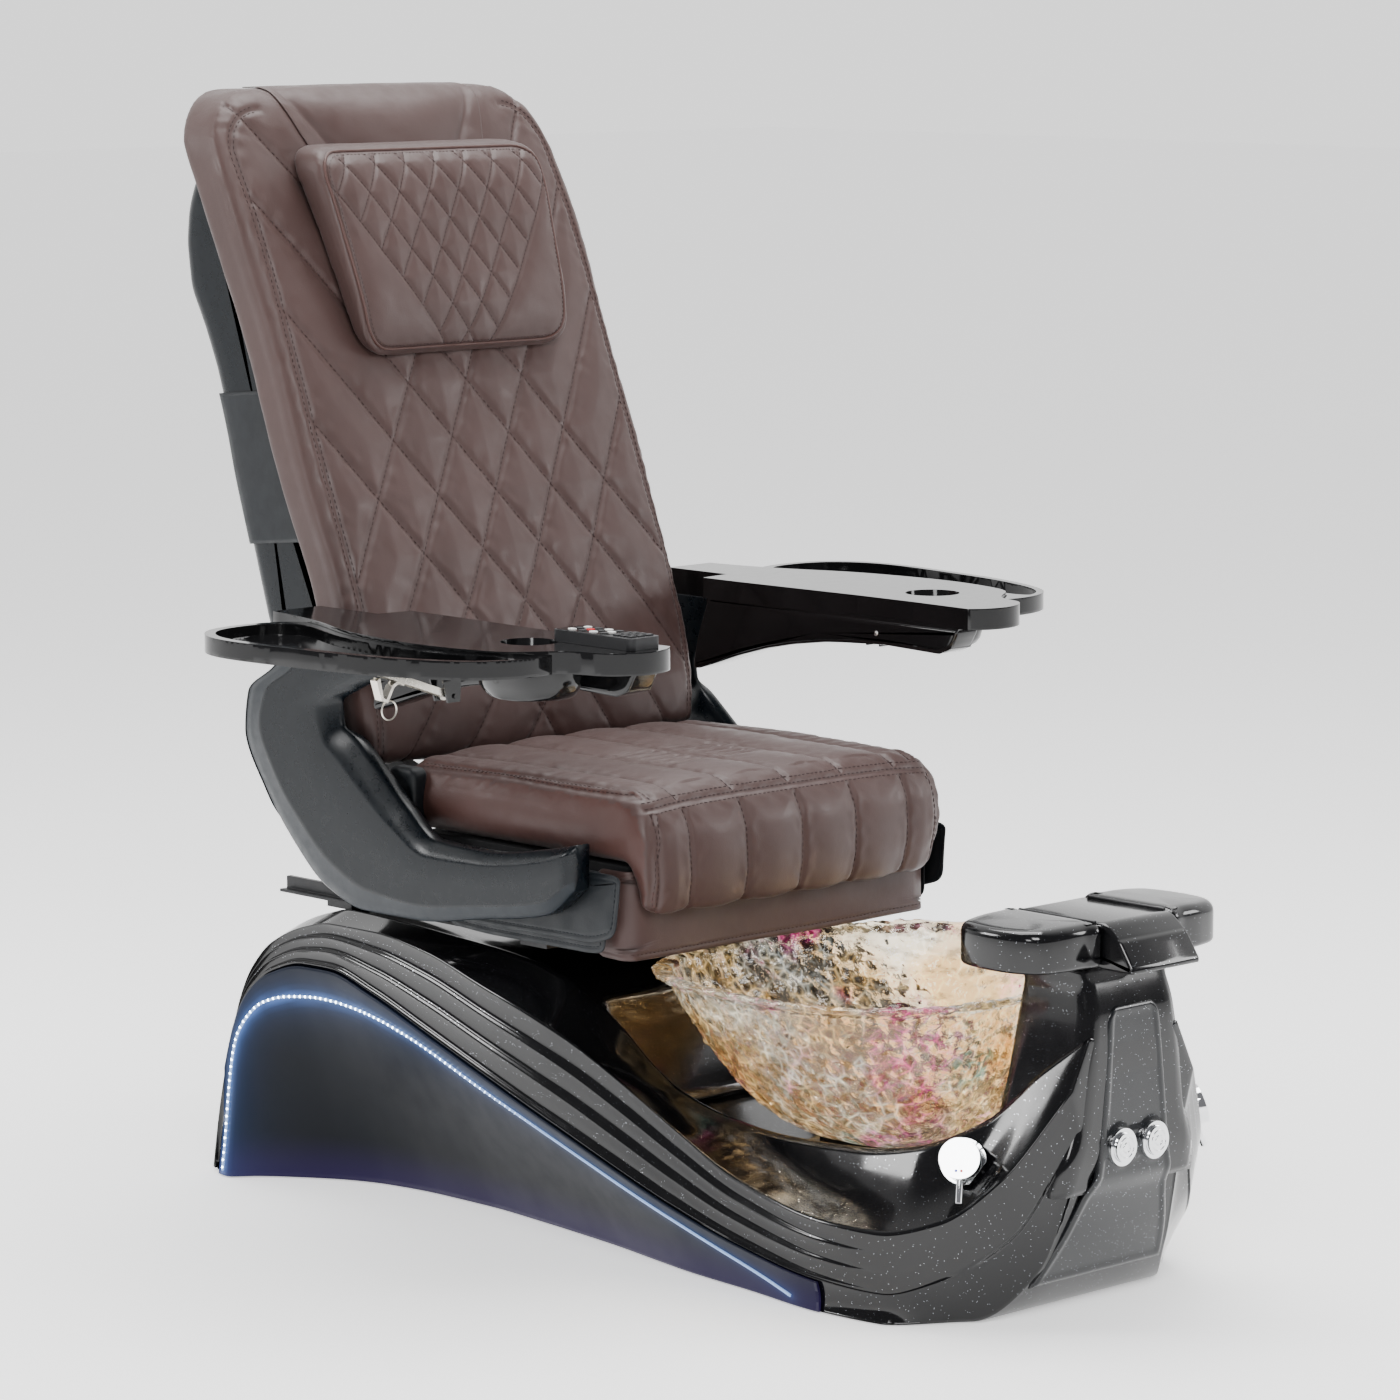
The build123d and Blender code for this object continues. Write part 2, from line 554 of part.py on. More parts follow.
def make_seat():
    """Frame, cushion, aprons, side covers and the hinge pins that the back and arms turn on."""
    beam = block(222, 262, -128, 372, 424.3, 484)
    bracket = prism_x([(279, 484), (279, 556), (286, 562), (318, 562), (338, 550), (372, 484)], 254, 262)
    beam = beam + bracket - rod((200, *RECLINE_AXIS), (300, *RECLINE_AXIS), 8.0)
    crossbar = block(-222, 222, -128, -92, 424.3, 484)
    rear_bar = block(-222, 222, 230, 262, 424.3, 484)
    pan = block(-258, 258, -140, 252, 484.3, 503)
    cushion = prism_x([
        (-152, 442), (-180, 442), (-192, 486), (-190, 545), (-172, 584), (-140, 602), (60, 606), (265, 598),
        (276, 585), (276, 520), (268, 505), (-152, 505),
    ], -SEAT_HALF, SEAT_HALF)
    front_apron = block(-250, 250, -147, -143, 382, 500)
    flap = [(-150, 500), (-162, 496), (-154, 421), (-113, 408), (91, 405), (180, 405), (240, 440), (240, 500)]
    under_flap = [(-128, 500), (-128, 396), (-100, 392), (91, 391), (160, 394), (200, 420), (200, 500)]
    outer_flap = prism_x(flap, 291, 294)
    inner_flap = prism_x(under_flap, 285, 288)
    hem_bar = block(259, 294, -90, 200, 490, 500)
    side_apron = outer_flap + inner_flap + hem_bar
    side_apron = side_apron - block(250, 300, -64, -16, 450, 484)
    recline_pin = rod((196, *RECLINE_AXIS), (262, *RECLINE_AXIS), 8.0)
    arm_pin = rod((311, *ARM_AXIS), (333, *ARM_AXIS), 6.0)
    cover = side_cover()
    return {
        "seat_beams": Compound(children=[beam, mirrored(beam)]),
        "seat_crossbars": Compound(children=[crossbar, rear_bar]),
        "seat_pan": pan,
        "seat_cushion": cushion,
        "front_apron": front_apron,
        "side_apron_left": side_apron,
        "side_apron_right": mirrored(side_apron),
        "side_cover_left": cover,
        "side_cover_right": mirrored(cover),
        "recline_pins": Compound(children=[recline_pin, mirrored(recline_pin)]),
        "arm_pins": Compound(children=[arm_pin, mirrored(arm_pin)]),
    }


# Backrest

def face_y(z):
    """Y of the cushion's front face at a height."""
    return at([(height, y) for y, height in BACK_FACE], z)[0]


def make_back():
    """Backrest frame, shell, cushion, pillow and the massage drive inside."""
    rear_face = [(y + BACK_CUSHION_DEPTH, z) for y, z in BACK_FACE if 600 < z < 1400]
    cushion_outline = BACK_FACE + [(676, 1450), (706, 1436), (712, 1405)] + rear_face[::-1]
    cushion = prism_x(cushion_outline, -BACK_HALF, BACK_HALF)
    corner = 88.0
    high = 1452.0
    for side in (1, -1):
        edge, arc_x, arc_z = side * (BACK_HALF + 2), side * (BACK_HALF - corner), high - corner
        blank = prism_y([(edge, arc_z), (edge, high + 5), (arc_x, high + 5)], 560, 760)
        arc = rod((arc_x, 560, arc_z), (arc_x, 760, arc_z), corner)
        cushion = cushion - (blank - arc)
        waist = [
            (side * BACK_HALF_LOW, 560), (edge, 560), (edge, BACK_WAIST_Z + 30), (side * BACK_HALF, BACK_WAIST_Z + 30),
            (side * BACK_HALF_LOW, BACK_WAIST_Z),
        ]
        cushion = cushion - prism_y(waist, 260, 460)

    front_line = [(face_y(z) + BACK_CUSHION_DEPTH + 1, z) for z in (650, 700, 800, 1000, 1200, 1300, 1350)]
    shell_outline = front_line + BACK_SHELL_REAR
    shell = prism_x(shell_outline, -BACK_SHELL_HALF, BACK_SHELL_HALF)
    inner_outline = [(y - 1, z) for y, z in front_line] + [
        (700, 1352), (744, 1302), (755, 1243), (746, 1180), (704, 1108), (683, 1054), (653, 942), (621, 840),
        (591, 746), (545, 630),
    ]
    inner_outline[0] = (inner_outline[0][0], 630)
    inner_outline[6] = (inner_outline[6][0], 1344)
    shell = shell - prism_x(inner_outline, -BACK_SHELL_HALF + 6, BACK_SHELL_HALF - 6)

    upright_front = [(418, 664), (440, 760), (474, 840), (608, 1170)]
    upright_rear = [(648, 1170), (514, 840), (474, 740), (452, 664)]
    leg = [(285, 530), (281, 545), (280, 562), (390, 594), (418, 664), (452, 664), (430, 574), (322, 530)]
    upright = prism_x(upright_front + upright_rear, 196, 216)
    foot = prism_x(leg, 196, 216)
    hub = rod((196, *RECLINE_AXIS), (221.5, *RECLINE_AXIS), 20.0)
    upright = upright + foot + hub
    upright = upright - rod((190, *RECLINE_AXIS), (240, *RECLINE_AXIS), 8.05)
    bar_low = rod((-196, 448, 700), (196, 448, 700), 13)
    bar_high = rod((-196, 622, 1150), (196, 622, 1150), 13)

    slope = Vector(0, 0.375, 0.927).normalized()
    rail_low, rail_high = Vector(90, 452, 716), Vector(90, 616, 1122)
    rail = rod(tuple(rail_low), tuple(rail_high), 7.0)
    start = Vector(0, 474, 770)
    across = Plane(origin=start, x_dir=(1, 0, 0), z_dir=slope)
    carriage = across * Box(230, 40, 44)
    for x in (90, -90):
        carriage = carriage - rod((x, 452 - 40, 716 - 99), (x, 616 + 40, 1122 + 99), 7.4)
    axle_y, axle_z = 461.5, 775.1
    carriage = carriage - rod((-130, axle_y, axle_z), (130, axle_y, axle_z), 5.0)
    rollers = rod((-150, axle_y, axle_z), (150, axle_y, axle_z), 4.95)
    for x in (128, -150):
        rollers = rollers + rod((x, axle_y, axle_z), (x + 22, axle_y, axle_z), 27)

    pillow_front = [(443, 1098), (437, 1112), (440, 1150), (468, 1250), (500, 1340), (520, 1368), (545, 1378)]
    pillow_rear = [(face_y(z) - 1.5, z) for z in (1366, 1300, 1200, 1102)]
    pillow = prism_x(pillow_front + pillow_rear, -188, 188)
    return {
        "back_frame": Compound(children=[upright, mirrored(upright), bar_low, bar_high]),
        "back_shell": shell,
        "backrest_cushion": cushion,
        "head_pillow": pillow,
        "massage_rails": Compound(children=[rail, mirrored(rail)]),
        "massage_carriage": carriage,
        "massage_rollers": rollers,
    }


# Arms

def arm_face():
    """Plan outline of the left arm's top plate."""
    inside = Polyline(
        (266, -222), (270, -120), (270, -20), (266, 90), (262, 200), (262, 264), (312.5, 270), (312.5, 384),
        (392, 384),
    )
    outside = Spline(
        (392, 384), (402, 320), (421, 252), (447, 187), (468, 90), (474, 2), (465, -68), (440, -128),
        (404, -154), (384, -176), (372, -212), (340, -238), (296, -240), (266, -222),
    )
    return make_face(inside + outside)


def make_arm():
    """Left arm with its rib, cup well, brace bracket and hinge knuckles."""
    face = arm_face()
    plate = Pos(0, 0, ARM_BOTTOM) * extrude(face, amount=ARM_TOP - ARM_BOTTOM)
    rib = prism_x([
        (264, 762), (264, 672), (210, 688), (115, 710), (40, 721), (-71, 727), (-170, 724), (-190, 732),
        (-205, 762),
    ], 268, 306)
    lug_outline = [(150, 762), (150, 712), (290, 700), (395, 706), (410, 722), (405, 744), (384, 762)]
    lug = prism_x(lug_outline, 312.5, 319)
    cup = rod((*CUP_CENTRE, CUP_FLOOR), (*CUP_CENTRE, ARM_TOP), CUP_R + CUP_WALL)
    arm = plate + rib + lug + cup
    arm = arm - rod((*CUP_CENTRE, CUP_FLOOR + CUP_WALL), (*CUP_CENTRE, ARM_TOP + 5), CUP_R)
    arm = arm - rod((300, *ARM_AXIS), (340, *ARM_AXIS), 6.05)
    ear_outline = [(372, ARM_BOTTOM + 1), (376, 704), (396, 704), (412, ARM_BOTTOM + 1)]
    for side in (-1, 1):
        ear_y = BRACE_Y + side * 12
        arm = arm + prism_y(ear_outline, ear_y - 1.5, ear_y + 1.5)
    brace_x, brace_z = BRACE_AXIS
    arm = arm - rod((brace_x, BRACE_Y - 20, brace_z), (brace_x, BRACE_Y + 20, brace_z), 3.0)
    arm = arm + rod((brace_x, BRACE_Y - 16, brace_z), (brace_x, BRACE_Y + 16, brace_z), 3.0)
    tray_x, tray_z = TRAY_AXIS
    for y in (-30, 110):
        leaf = block(430, tray_x, y, y + 24, 757, ARM_BOTTOM)
        knuckle = rod((tray_x, y, tray_z), (tray_x, y + 24, tray_z), 3.2)
        pin = rod((tray_x, y + 12, tray_z), (tray_x, y + 46, tray_z), 2.0)
        arm = arm + (leaf - block(464, 490, y - 1, y + 25, 759, 765)) + knuckle + pin
    return arm


def make_tray():
    """Left side tray: a leaf with a raised rim and the knuckles of its hinge."""
    leaf_face = make_face(Spline(
        (404, -158), (452, -160), (506, -136), (548, -70), (573, 10), (588, 110), (597, 200), (584, 282),
        (545, 324), (490, 336), (436, 326), (404, 290), (418, 240), (440, 180), (462, 90), (468, 0),
        (458, -66), (432, -130), periodic=True,
    ))
    tray = Pos(0, 0, ARM_BOTTOM) * extrude(leaf_face, amount=TRAY_TOP - ARM_BOTTOM)
    for dx, dy in ((1.2, 0), (0.8, -1.2), (0.8, 1.2)):
        tray = tray - Pos(dx, dy, ARM_BOTTOM - 5) * extrude(arm_face(), amount=60)
    tray = tray.solids().sort_by(SortBy.VOLUME)[-1]
    dish_face = make_face(Spline((
        (470, -146), (502, -126), (538, -66), (561, 12), (576, 110), (585, 198), (573, 274), (540, 311),
        (490, 323), (444, 312), (430, 286), (438, 246), (460, 190), (482, 92), (488, 2), (478, -72),
        (458, -126),
    ), periodic=True))
    tray = tray - Pos(0, 0, ARM_BOTTOM + 9) * extrude(dish_face, amount=40)
    x, z = TRAY_AXIS
    for y in (-30, 110):
        clearance = rod((x, y - 0.5, z), (x, y + 24.3, z), 4.2)
        clearance = clearance + block(450, x, y - 0.5, y + 24.3, 750, 761)
        sleeve = rod((x, y + 24.6, z), (x, y + 47, z), 3.4)
        sleeve = sleeve + block(x, x + 12, y + 24.6, y + 47, 757.5, 761)
        sleeve = sleeve - rod((x, y + 20, z), (x, y + 50, z), 2.06)
        tray = tray - clearance + sleeve
    return tray


def make_brace():
    """Left tray brace: strut, spring latch and pull ring."""
    low, high = BRACE_AXIS, BRACE_TIP
    dx, dz = high[0] - low[0], high[1] - low[1]
    length = math.hypot(dx, dz)
    nx, nz = -dz / length * 4.5, dx / length * 4.5
    strap = [
        (low[0] + nx, low[1] + nz), (low[0] - nx, low[1] - nz), (high[0] - nx, high[1] - nz),
        (high[0] + nx, high[1] + nz),
    ]
    brace = None
    for side in (-1, 1):
        middle = BRACE_Y + side * 7.5
        plate = prism_y(strap, middle - 1.25, middle + 1.25)
        eye = rod((low[0], middle - 1.25, low[1]), (low[0], middle + 1.25, low[1]), 7.0)
        piece = plate + eye
        brace = piece if brace is None else brace + piece
    brace = brace + rod((high[0] - 8, BRACE_Y - 8, high[1] - 3), (high[0] - 8, BRACE_Y + 8, high[1] - 3), 3.0)
    brace = brace - rod((low[0], BRACE_Y - 20, low[1]), (low[0], BRACE_Y + 20, low[1]), 3.06)
    latch = prism_y([
        (500, 744), (506, 741), (498, 716), (488, 712), (478, 730), (470, 735), (462, 731), (460, 735), (470, 739),
        (480, 734), (490, 717), (495, 719),
    ], BRACE_Y - 6.2, BRACE_Y + 6.2)
    brace = brace + latch
    ring = Plane(origin=(481, BRACE_Y, 702), z_dir=(0, 1, 0)) * Torus(12, 1.0)
    return brace + ring


def make_arms():
    """Arms, trays and braces on both sides, and the remote control on the right arm."""
    arm, tray, brace = make_arm(), make_tray(), make_brace()
    remote = block(-336, -284, -226, -84, ARM_TOP + 0.2, ARM_TOP + 15)
    remote = fillet(remote.edges().filter_by(Axis.Z), 9)
    keys = None
    for row in range(3):
        for column in range(3):
            x, y = -328 + column * 14, -218 + row * 12
            key = block(x, x + 10, y, y + 8, ARM_TOP + 14.5, ARM_TOP + 17)
            keys = key if keys is None else keys + key
    return {
        "arm_left": arm,
        "arm_right": mirrored(arm),
        "tray_left": tray,
        "tray_right": mirrored(tray),
        "tray_brace_left": brace,
        "tray_brace_right": mirrored(brace),
        "remote_control": remote + keys,
    }


def main():
    parts, outer, pedestal_outer = make_base()
    parts.update(make_bowl())
    parts.update(make_plumbing())
    parts.update(make_taps(outer, pedestal_outer))
    parts.update(make_front())
    parts.update(make_slide())
    parts.update(make_seat())
    parts.update(make_back())
    parts.update(make_arms())
    os.makedirs("parts", exist_ok=True)
    for name, shape in parts.items():
        export_step(shape, f"parts/{name}.step")
    print(len(parts), "pieces")


main()
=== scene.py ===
import math

import bpy
import numpy as np
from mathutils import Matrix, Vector
from mathutils.bvhtree import BVHTree


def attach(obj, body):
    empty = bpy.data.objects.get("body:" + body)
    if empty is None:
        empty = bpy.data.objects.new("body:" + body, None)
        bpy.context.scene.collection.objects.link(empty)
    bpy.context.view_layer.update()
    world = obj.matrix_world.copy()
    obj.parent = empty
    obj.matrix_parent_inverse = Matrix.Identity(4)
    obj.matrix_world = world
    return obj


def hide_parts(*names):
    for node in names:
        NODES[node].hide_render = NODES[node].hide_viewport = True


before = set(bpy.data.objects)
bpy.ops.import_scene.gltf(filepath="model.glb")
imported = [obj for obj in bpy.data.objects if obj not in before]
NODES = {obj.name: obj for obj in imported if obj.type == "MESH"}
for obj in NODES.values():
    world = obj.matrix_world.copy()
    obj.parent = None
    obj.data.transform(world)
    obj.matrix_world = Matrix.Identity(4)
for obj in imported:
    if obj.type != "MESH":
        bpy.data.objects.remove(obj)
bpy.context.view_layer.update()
scene = bpy.context.scene
MM = 0.001                      # the outlines, places and sizes of the pieces are in millimetres
SIDES = ((1, "left"), (-1, "right"))            # the sitter's left is +X


# Curves and outlines

def curve(rows, places):
    """Smooth values at places, along rows of (place, value, value ...)."""
    table = np.array(sorted(rows), float)
    x, y = table[:, 0], table[:, 1:]
    slope = np.diff(y, axis=0) / np.diff(x)[:, None]
    tangent = np.zeros_like(y)
    total = slope[:-1] + slope[1:]
    same_way = slope[:-1] * slope[1:] > 0
    tangent[1:-1] = np.where(same_way, 2 * slope[:-1] * slope[1:] / np.where(same_way, total, 1), 0)
    tangent[0], tangent[-1] = slope[0], slope[-1]
    places = np.clip(np.atleast_1d(np.array(places, float)), x[0], x[-1])
    index = np.clip(np.searchsorted(x, places, side="right") - 1, 0, len(x) - 2)
    width = (x[index + 1] - x[index])[:, None]
    t = (places - x[index])[:, None] / width
    a, b = y[index], y[index + 1]
    ma, mb = tangent[index] * width, tangent[index + 1] * width
    return (a * (1 + 2 * t) * (1 - t) ** 2 + b * t * t * (3 - 2 * t)
            + ma * t * (1 - t) ** 2 - mb * t * t * (1 - t))


def smooth(low, high, value):
    """0 below low, 1 above high, and an S between them."""
    t = np.clip((np.asarray(value, float) - low) / (high - low), 0, 1)
    return t * t * (3 - 2 * t)


def spline_loop(points, count):
    """A closed smooth loop of evenly spaced points through a few points."""
    p = np.array(points, float)
    n = len(p)
    fine = []
    for i in range(n):
        p0, p1, p2, p3 = p[i - 1], p[i], p[(i + 1) % n], p[(i + 2) % n]
        for t in np.linspace(0, 1, 16, endpoint=False):
            fine.append(0.5 * (2 * p1 + (p2 - p0) * t + (2 * p0 - 5 * p1 + 4 * p2 - p3) * t * t
                               + (3 * p1 - p0 - 3 * p2 + p3) * t ** 3))
    return resample(np.array(fine), count)


def run_length(line):
    """How far along a line each of its points is."""
    return np.concatenate([[0], np.cumsum(np.linalg.norm(np.diff(line, axis=0), axis=1))])


def resample(loop, count):
    """Evenly spaced points along a closed loop."""
    closed = np.vstack([loop, loop[:1]])
    length = run_length(closed)
    places = np.linspace(0, length[-1], count, endpoint=False)
    return np.stack([np.interp(places, length, closed[:, k]) for k in range(closed.shape[1])], 1)


def resample_open(line, count):
    """Evenly spaced points along an open 2-D line, with both of its ends."""
    line = np.array(line, float)
    length = run_length(line)
    places = np.linspace(0, length[-1], count)
    return [tuple(np.interp(p, length, line[:, c]) for c in (0, 1)) for p in places]


def filleted(points, radius, steps=7):
    """A closed outline with each corner rounded by up to a radius."""
    p = np.array(points, float)
    n = len(p)
    out = []
    for i in range(n):
        here, before, after = p[i], p[i - 1] - p[i], p[(i + 1) % n] - p[i]
        a, b = np.linalg.norm(before), np.linalg.norm(after)
        reach = min(radius, 0.49 * a, 0.49 * b)
        start, end = here + before / a * reach, here + after / b * reach
        for t in np.linspace(0, 1, steps):
            out.append(start * (1 - t) ** 2 + here * 2 * t * (1 - t) + end * t * t)
    return np.array(out)


def rectangle(x0, x1, y0, y1):
    return [(x0, y0), (x0, y1), (x1, y1), (x1, y0)]


def doubled_area(loop):
    """Twice a closed loop's area, negative when it runs clockwise."""
    return np.sum(loop[:, 0] * np.roll(loop[:, 1], -1) - loop[:, 1] * np.roll(loop[:, 0], -1))


def normals_2d(loop):
    """Outward unit normals of a closed loop."""
    tangent = np.roll(loop, -1, 0) - np.roll(loop, 1, 0)
    normal = np.stack([tangent[:, 1], -tangent[:, 0]], 1)
    normal /= np.maximum(np.linalg.norm(normal, axis=1), 1e-9)[:, None]
    return normal if doubled_area(loop) > 0 else -normal


# Meshes

def new_object(name, verts, faces):
    """A smooth-shaded mesh from points in millimetres."""
    mesh = bpy.data.meshes.new(name)
    mesh.from_pydata((np.asarray(verts, float) * MM).tolist(), [], faces)
    mesh.update()
    obj = bpy.data.objects.new(name, mesh)
    scene.collection.objects.link(obj)
    mesh.shade_smooth()
    fix_normals(obj)
    return obj


def fix_normals(obj):
    """Turn every face outwards."""
    bpy.ops.object.select_all(action="DESELECT")
    obj.select_set(True)
    bpy.context.view_layer.objects.active = obj
    bpy.ops.object.mode_set(mode="EDIT")
    bpy.ops.mesh.select_all(action="SELECT")
    bpy.ops.mesh.normals_make_consistent(inside=False)
    bpy.ops.object.mode_set(mode="OBJECT")


def loft(name, rings, close_ends=True):
    """A skin through closed rings that have the same number of points."""
    count = len(rings[0])
    faces = []
    for row in range(len(rings) - 1):
        for i in range(count):
            j = (i + 1) % count
            a, b = row * count, (row + 1) * count
            faces.append((a + i, a + j, b + j, b + i))
    verts = list(np.vstack(rings))
    if close_ends:
        for row in (0, len(rings) - 1):
            verts.append(np.mean(rings[row], axis=0))
            centre = len(verts) - 1
            base = row * count
            faces += [(base + i, base + (i + 1) % count, centre) for i in range(count)]
    return new_object(name, verts, faces)


def open_grid(name, rows):
    """An open skin through rows that have the same number of points."""
    count = len(rows[0])
    faces = []
    for row in range(len(rows) - 1):
        for column in range(count - 1):
            a = row * count + column
            faces.append((a, a + 1, a + count + 1, a + count))
    return new_object(name, np.vstack(rows), faces)


def add_bead_faces(faces, base, sides, rings):
    """Close a small bead whose rings of points start at base: its ends, then its sides."""
    last = base + sides * (rings - 1)
    faces.append(tuple(base + sides - 1 - i for i in range(sides)))
    faces.append(tuple(last + i for i in range(sides)))
    for start in range(base, last, sides):
        for i in range(sides):
            a, b = start + i, start + (i + 1) % sides
            faces.append((a, b, b + sides, a + sides))


def place(loop, level, axis):
    """Put a 2-D loop at a level of an axis: X takes (y, z), Y takes (x, z), Z takes (x, y)."""
    a, b = loop[:, 0], loop[:, 1]
    c = np.full(len(loop), float(level))
    return np.stack({"X": (c, a, b), "Y": (a, c, b), "Z": (a, b, c)}[axis], 1)


def slab(name, loop, axis, low, high, round_low, round_high, steps=5):
    """An outline given thickness along an axis, with rounded edges at both ends."""
    out = normals_2d(loop)
    rings = [place(loop - out * (round_low * 1.6), low, axis)]
    for t in np.linspace(0, math.pi / 2, steps):
        inner = loop - out * round_low * (1 - math.sin(t))
        rings.append(place(inner, low + round_low * (1 - math.cos(t)), axis))
    for t in np.linspace(math.pi / 2, 0, steps):
        inner = loop - out * round_high * (1 - math.sin(t))
        rings.append(place(inner, high - round_high * (1 - math.cos(t)), axis))
    rings.append(place(loop - out * (round_high * 1.6), high, axis))
    return loft(name, rings)


def tube(name, path, radius, sides=8, closed=False):
    """A round bead along a path of points in millimetres."""
    path = np.asarray(path, float)
    tangent = np.gradient(path, axis=0)
    if closed:
        tangent = np.roll(path, -1, 0) - np.roll(path, 1, 0)
    tangent /= np.maximum(np.linalg.norm(tangent, axis=1), 1e-9)[:, None]
    side = np.cross(tangent[0], [0.3, 0.5, 0.81])
    rings = []
    for point, along in zip(path, tangent):
        side = side - along * np.dot(side, along)
        side = side / np.linalg.norm(side)
        up = np.cross(along, side)
        turn = np.linspace(0, 2 * math.pi, sides, endpoint=False)
        rings.append(point + radius * (np.cos(turn)[:, None] * side + np.sin(turn)[:, None] * up))
    if closed:
        return loft(name, rings + [rings[0]], close_ends=False)
    return loft(name, rings)


def coords(obj):
    """The mesh's points in millimetres."""
    co = np.zeros(len(obj.data.vertices) * 3)
    obj.data.vertices.foreach_get("co", co)
    return co.reshape(-1, 3) / MM


def set_coords(obj, co):
    obj.data.vertices.foreach_set("co", (co * MM).ravel())
    obj.data.update()


def vertex_normals(obj):
    n = np.zeros(len(obj.data.vertices) * 3)
    obj.data.vertices.foreach_get("normal", n)
    return n.reshape(-1, 3)


def apply_all(obj):
    """Bake the object's modifiers into its mesh."""
    graph = bpy.context.evaluated_depsgraph_get()
    mesh = bpy.data.meshes.new_from_object(obj.evaluated_get(graph))
    obj.modifiers.clear()
    obj.data = mesh
    obj.data.shade_smooth()


def remeshed(obj, voxel):
    modifier = obj.modifiers.new("Remesh", "REMESH")
    modifier.mode = "VOXEL"
    modifier.voxel_size = voxel * MM
    apply_all(obj)


def relaxed(obj, turns, factor=0.5):
    modifier = obj.modifiers.new("Smooth", "SMOOTH")
    modifier.iterations = turns
    modifier.factor = factor
    apply_all(obj)


def subdivided(obj, levels=1):
    modifier = obj.modifiers.new("Subdivision", "SUBSURF")
    modifier.levels = levels
    modifier.render_levels = levels
    apply_all(obj)


def thickened(obj, thickness, offset):
    modifier = obj.modifiers.new("Solidify", "SOLIDIFY")
    modifier.thickness = thickness * MM
    modifier.offset = offset
    apply_all(obj)


def joined(name, parts):
    bpy.ops.object.select_all(action="DESELECT")
    for part in parts:
        part.select_set(True)
    bpy.context.view_layer.objects.active = parts[0]
    bpy.ops.object.join()
    parts[0].name = name
    parts[0].data.name = name
    return parts[0]


def mirror_copy(obj, name):
    """The same piece on the other side of the chair."""
    co = coords(obj)
    co[:, 0] *= -1
    faces = [tuple(p.vertices) for p in obj.data.polygons]
    copy = new_object(name, co, faces)
    for m in obj.data.materials:
        copy.data.materials.append(m)
    for own, mirrored in zip(obj.data.polygons, copy.data.polygons):
        mirrored.material_index = own.material_index
    return copy


def noise(points, scale, seed=0.0):
    """Soft unevenness from a few bent waves, about -1 to 1."""
    p = np.asarray(points, float) / scale + seed
    a = np.sin(p[:, 0] * 1.9 + 1.3 * np.sin(p[:, 1] * 1.3 + p[:, 2] * 0.7))
    b = np.sin(p[:, 1] * 2.3 + 1.7 * np.sin(p[:, 2] * 1.1 + p[:, 0] * 0.9))
    c = np.sin(p[:, 2] * 2.1 + 1.5 * np.sin(p[:, 0] * 1.2 + p[:, 1] * 0.8))
    return (a + b + c) / 3


# Materials

class Nodes:
    """A short way to write a node material."""

    def __init__(self, name):
        self.material = bpy.data.materials.new(name)
        self.material.use_nodes = True
        self.tree = self.material.node_tree
        self.shader = self.tree.nodes["Principled BSDF"]

    def add(self, kind, **values):
        node = self.tree.nodes.new("ShaderNode" + kind)
        for key, value in values.items():
            if key in node.inputs:
                node.inputs[key].default_value = value
            else:
                setattr(node, key, value)
        return node

    def link(self, a, b):
        self.tree.links.new(a, b)

    def place(self, scale):
        """Object coordinates at a scale."""
        mapping = self.add("Mapping", Scale=(scale,) * 3)
        self.link(self.add("TexCoord").outputs["Object"], mapping.inputs["Vector"])
        return mapping.outputs["Vector"]

    def noise(self, scale, detail=3.0, roughness=0.5):
        node = self.add("TexNoise", Scale=1.0, Detail=detail, Roughness=roughness)
        self.link(self.place(scale), node.inputs["Vector"])
        return node.outputs["Fac"]

    def cells(self, scale, feature="F1"):
        node = self.add("TexVoronoi", feature=feature, Scale=1.0)
        self.link(self.place(scale), node.inputs["Vector"])
        return node.outputs["Distance"]

    def ramp(self, source, stops):
        node = self.add("ValToRGB")
        ramp = node.color_ramp
        while len(ramp.elements) < len(stops):
            ramp.elements.new(0.5)
        for element, (position, value) in zip(ramp.elements, stops):
            element.position = position
            element.color = (*value, 1) if isinstance(value, tuple) else (value, value, value, 1)
        self.link(source, node.inputs["Fac"])
        return node.outputs["Color"]

    def mix(self, factor, a, b, blend="MIX"):
        node = self.add("Mix", data_type="RGBA", blend_type=blend)
        for socket, value in ((node.inputs[0], factor), (node.inputs[6], a), (node.inputs[7], b)):
            if isinstance(value, bpy.types.NodeSocket):
                self.link(value, socket)
            elif isinstance(value, tuple):
                socket.default_value = (*value, 1)
            else:
                socket.default_value = value
        return node.outputs[2]

    def math(self, operation, a, b=0.0):
        node = self.add("Math", operation=operation)
        for socket, value in ((node.inputs[0], a), (node.inputs[1], b)):
            if isinstance(value, bpy.types.NodeSocket):
                self.link(value, socket)
            else:
                socket.default_value = value
        return node.outputs[0]

    def first(self, color):
        """The first channel of a colour."""
        node = self.add("SeparateColor")
        self.link(color, node.inputs[0])
        return node.outputs[0]

    def bump(self, height, strength, distance, below=None):
        node = self.add("Bump", Strength=strength, Distance=distance)
        self.link(height, node.inputs["Height"])
        if below is not None:
            self.link(below, node.inputs["Normal"])
        return node.outputs["Normal"]

    def set(self, **values):
        for key, value in values.items():
            socket = self.shader.inputs[key.replace("_", " ")]
            if isinstance(value, bpy.types.NodeSocket):
                self.link(value, socket)
            elif isinstance(value, tuple) and len(value) == 3 and socket.type == "RGBA":
                socket.default_value = (*value, 1)
            else:
                socket.default_value = value
        return self.material


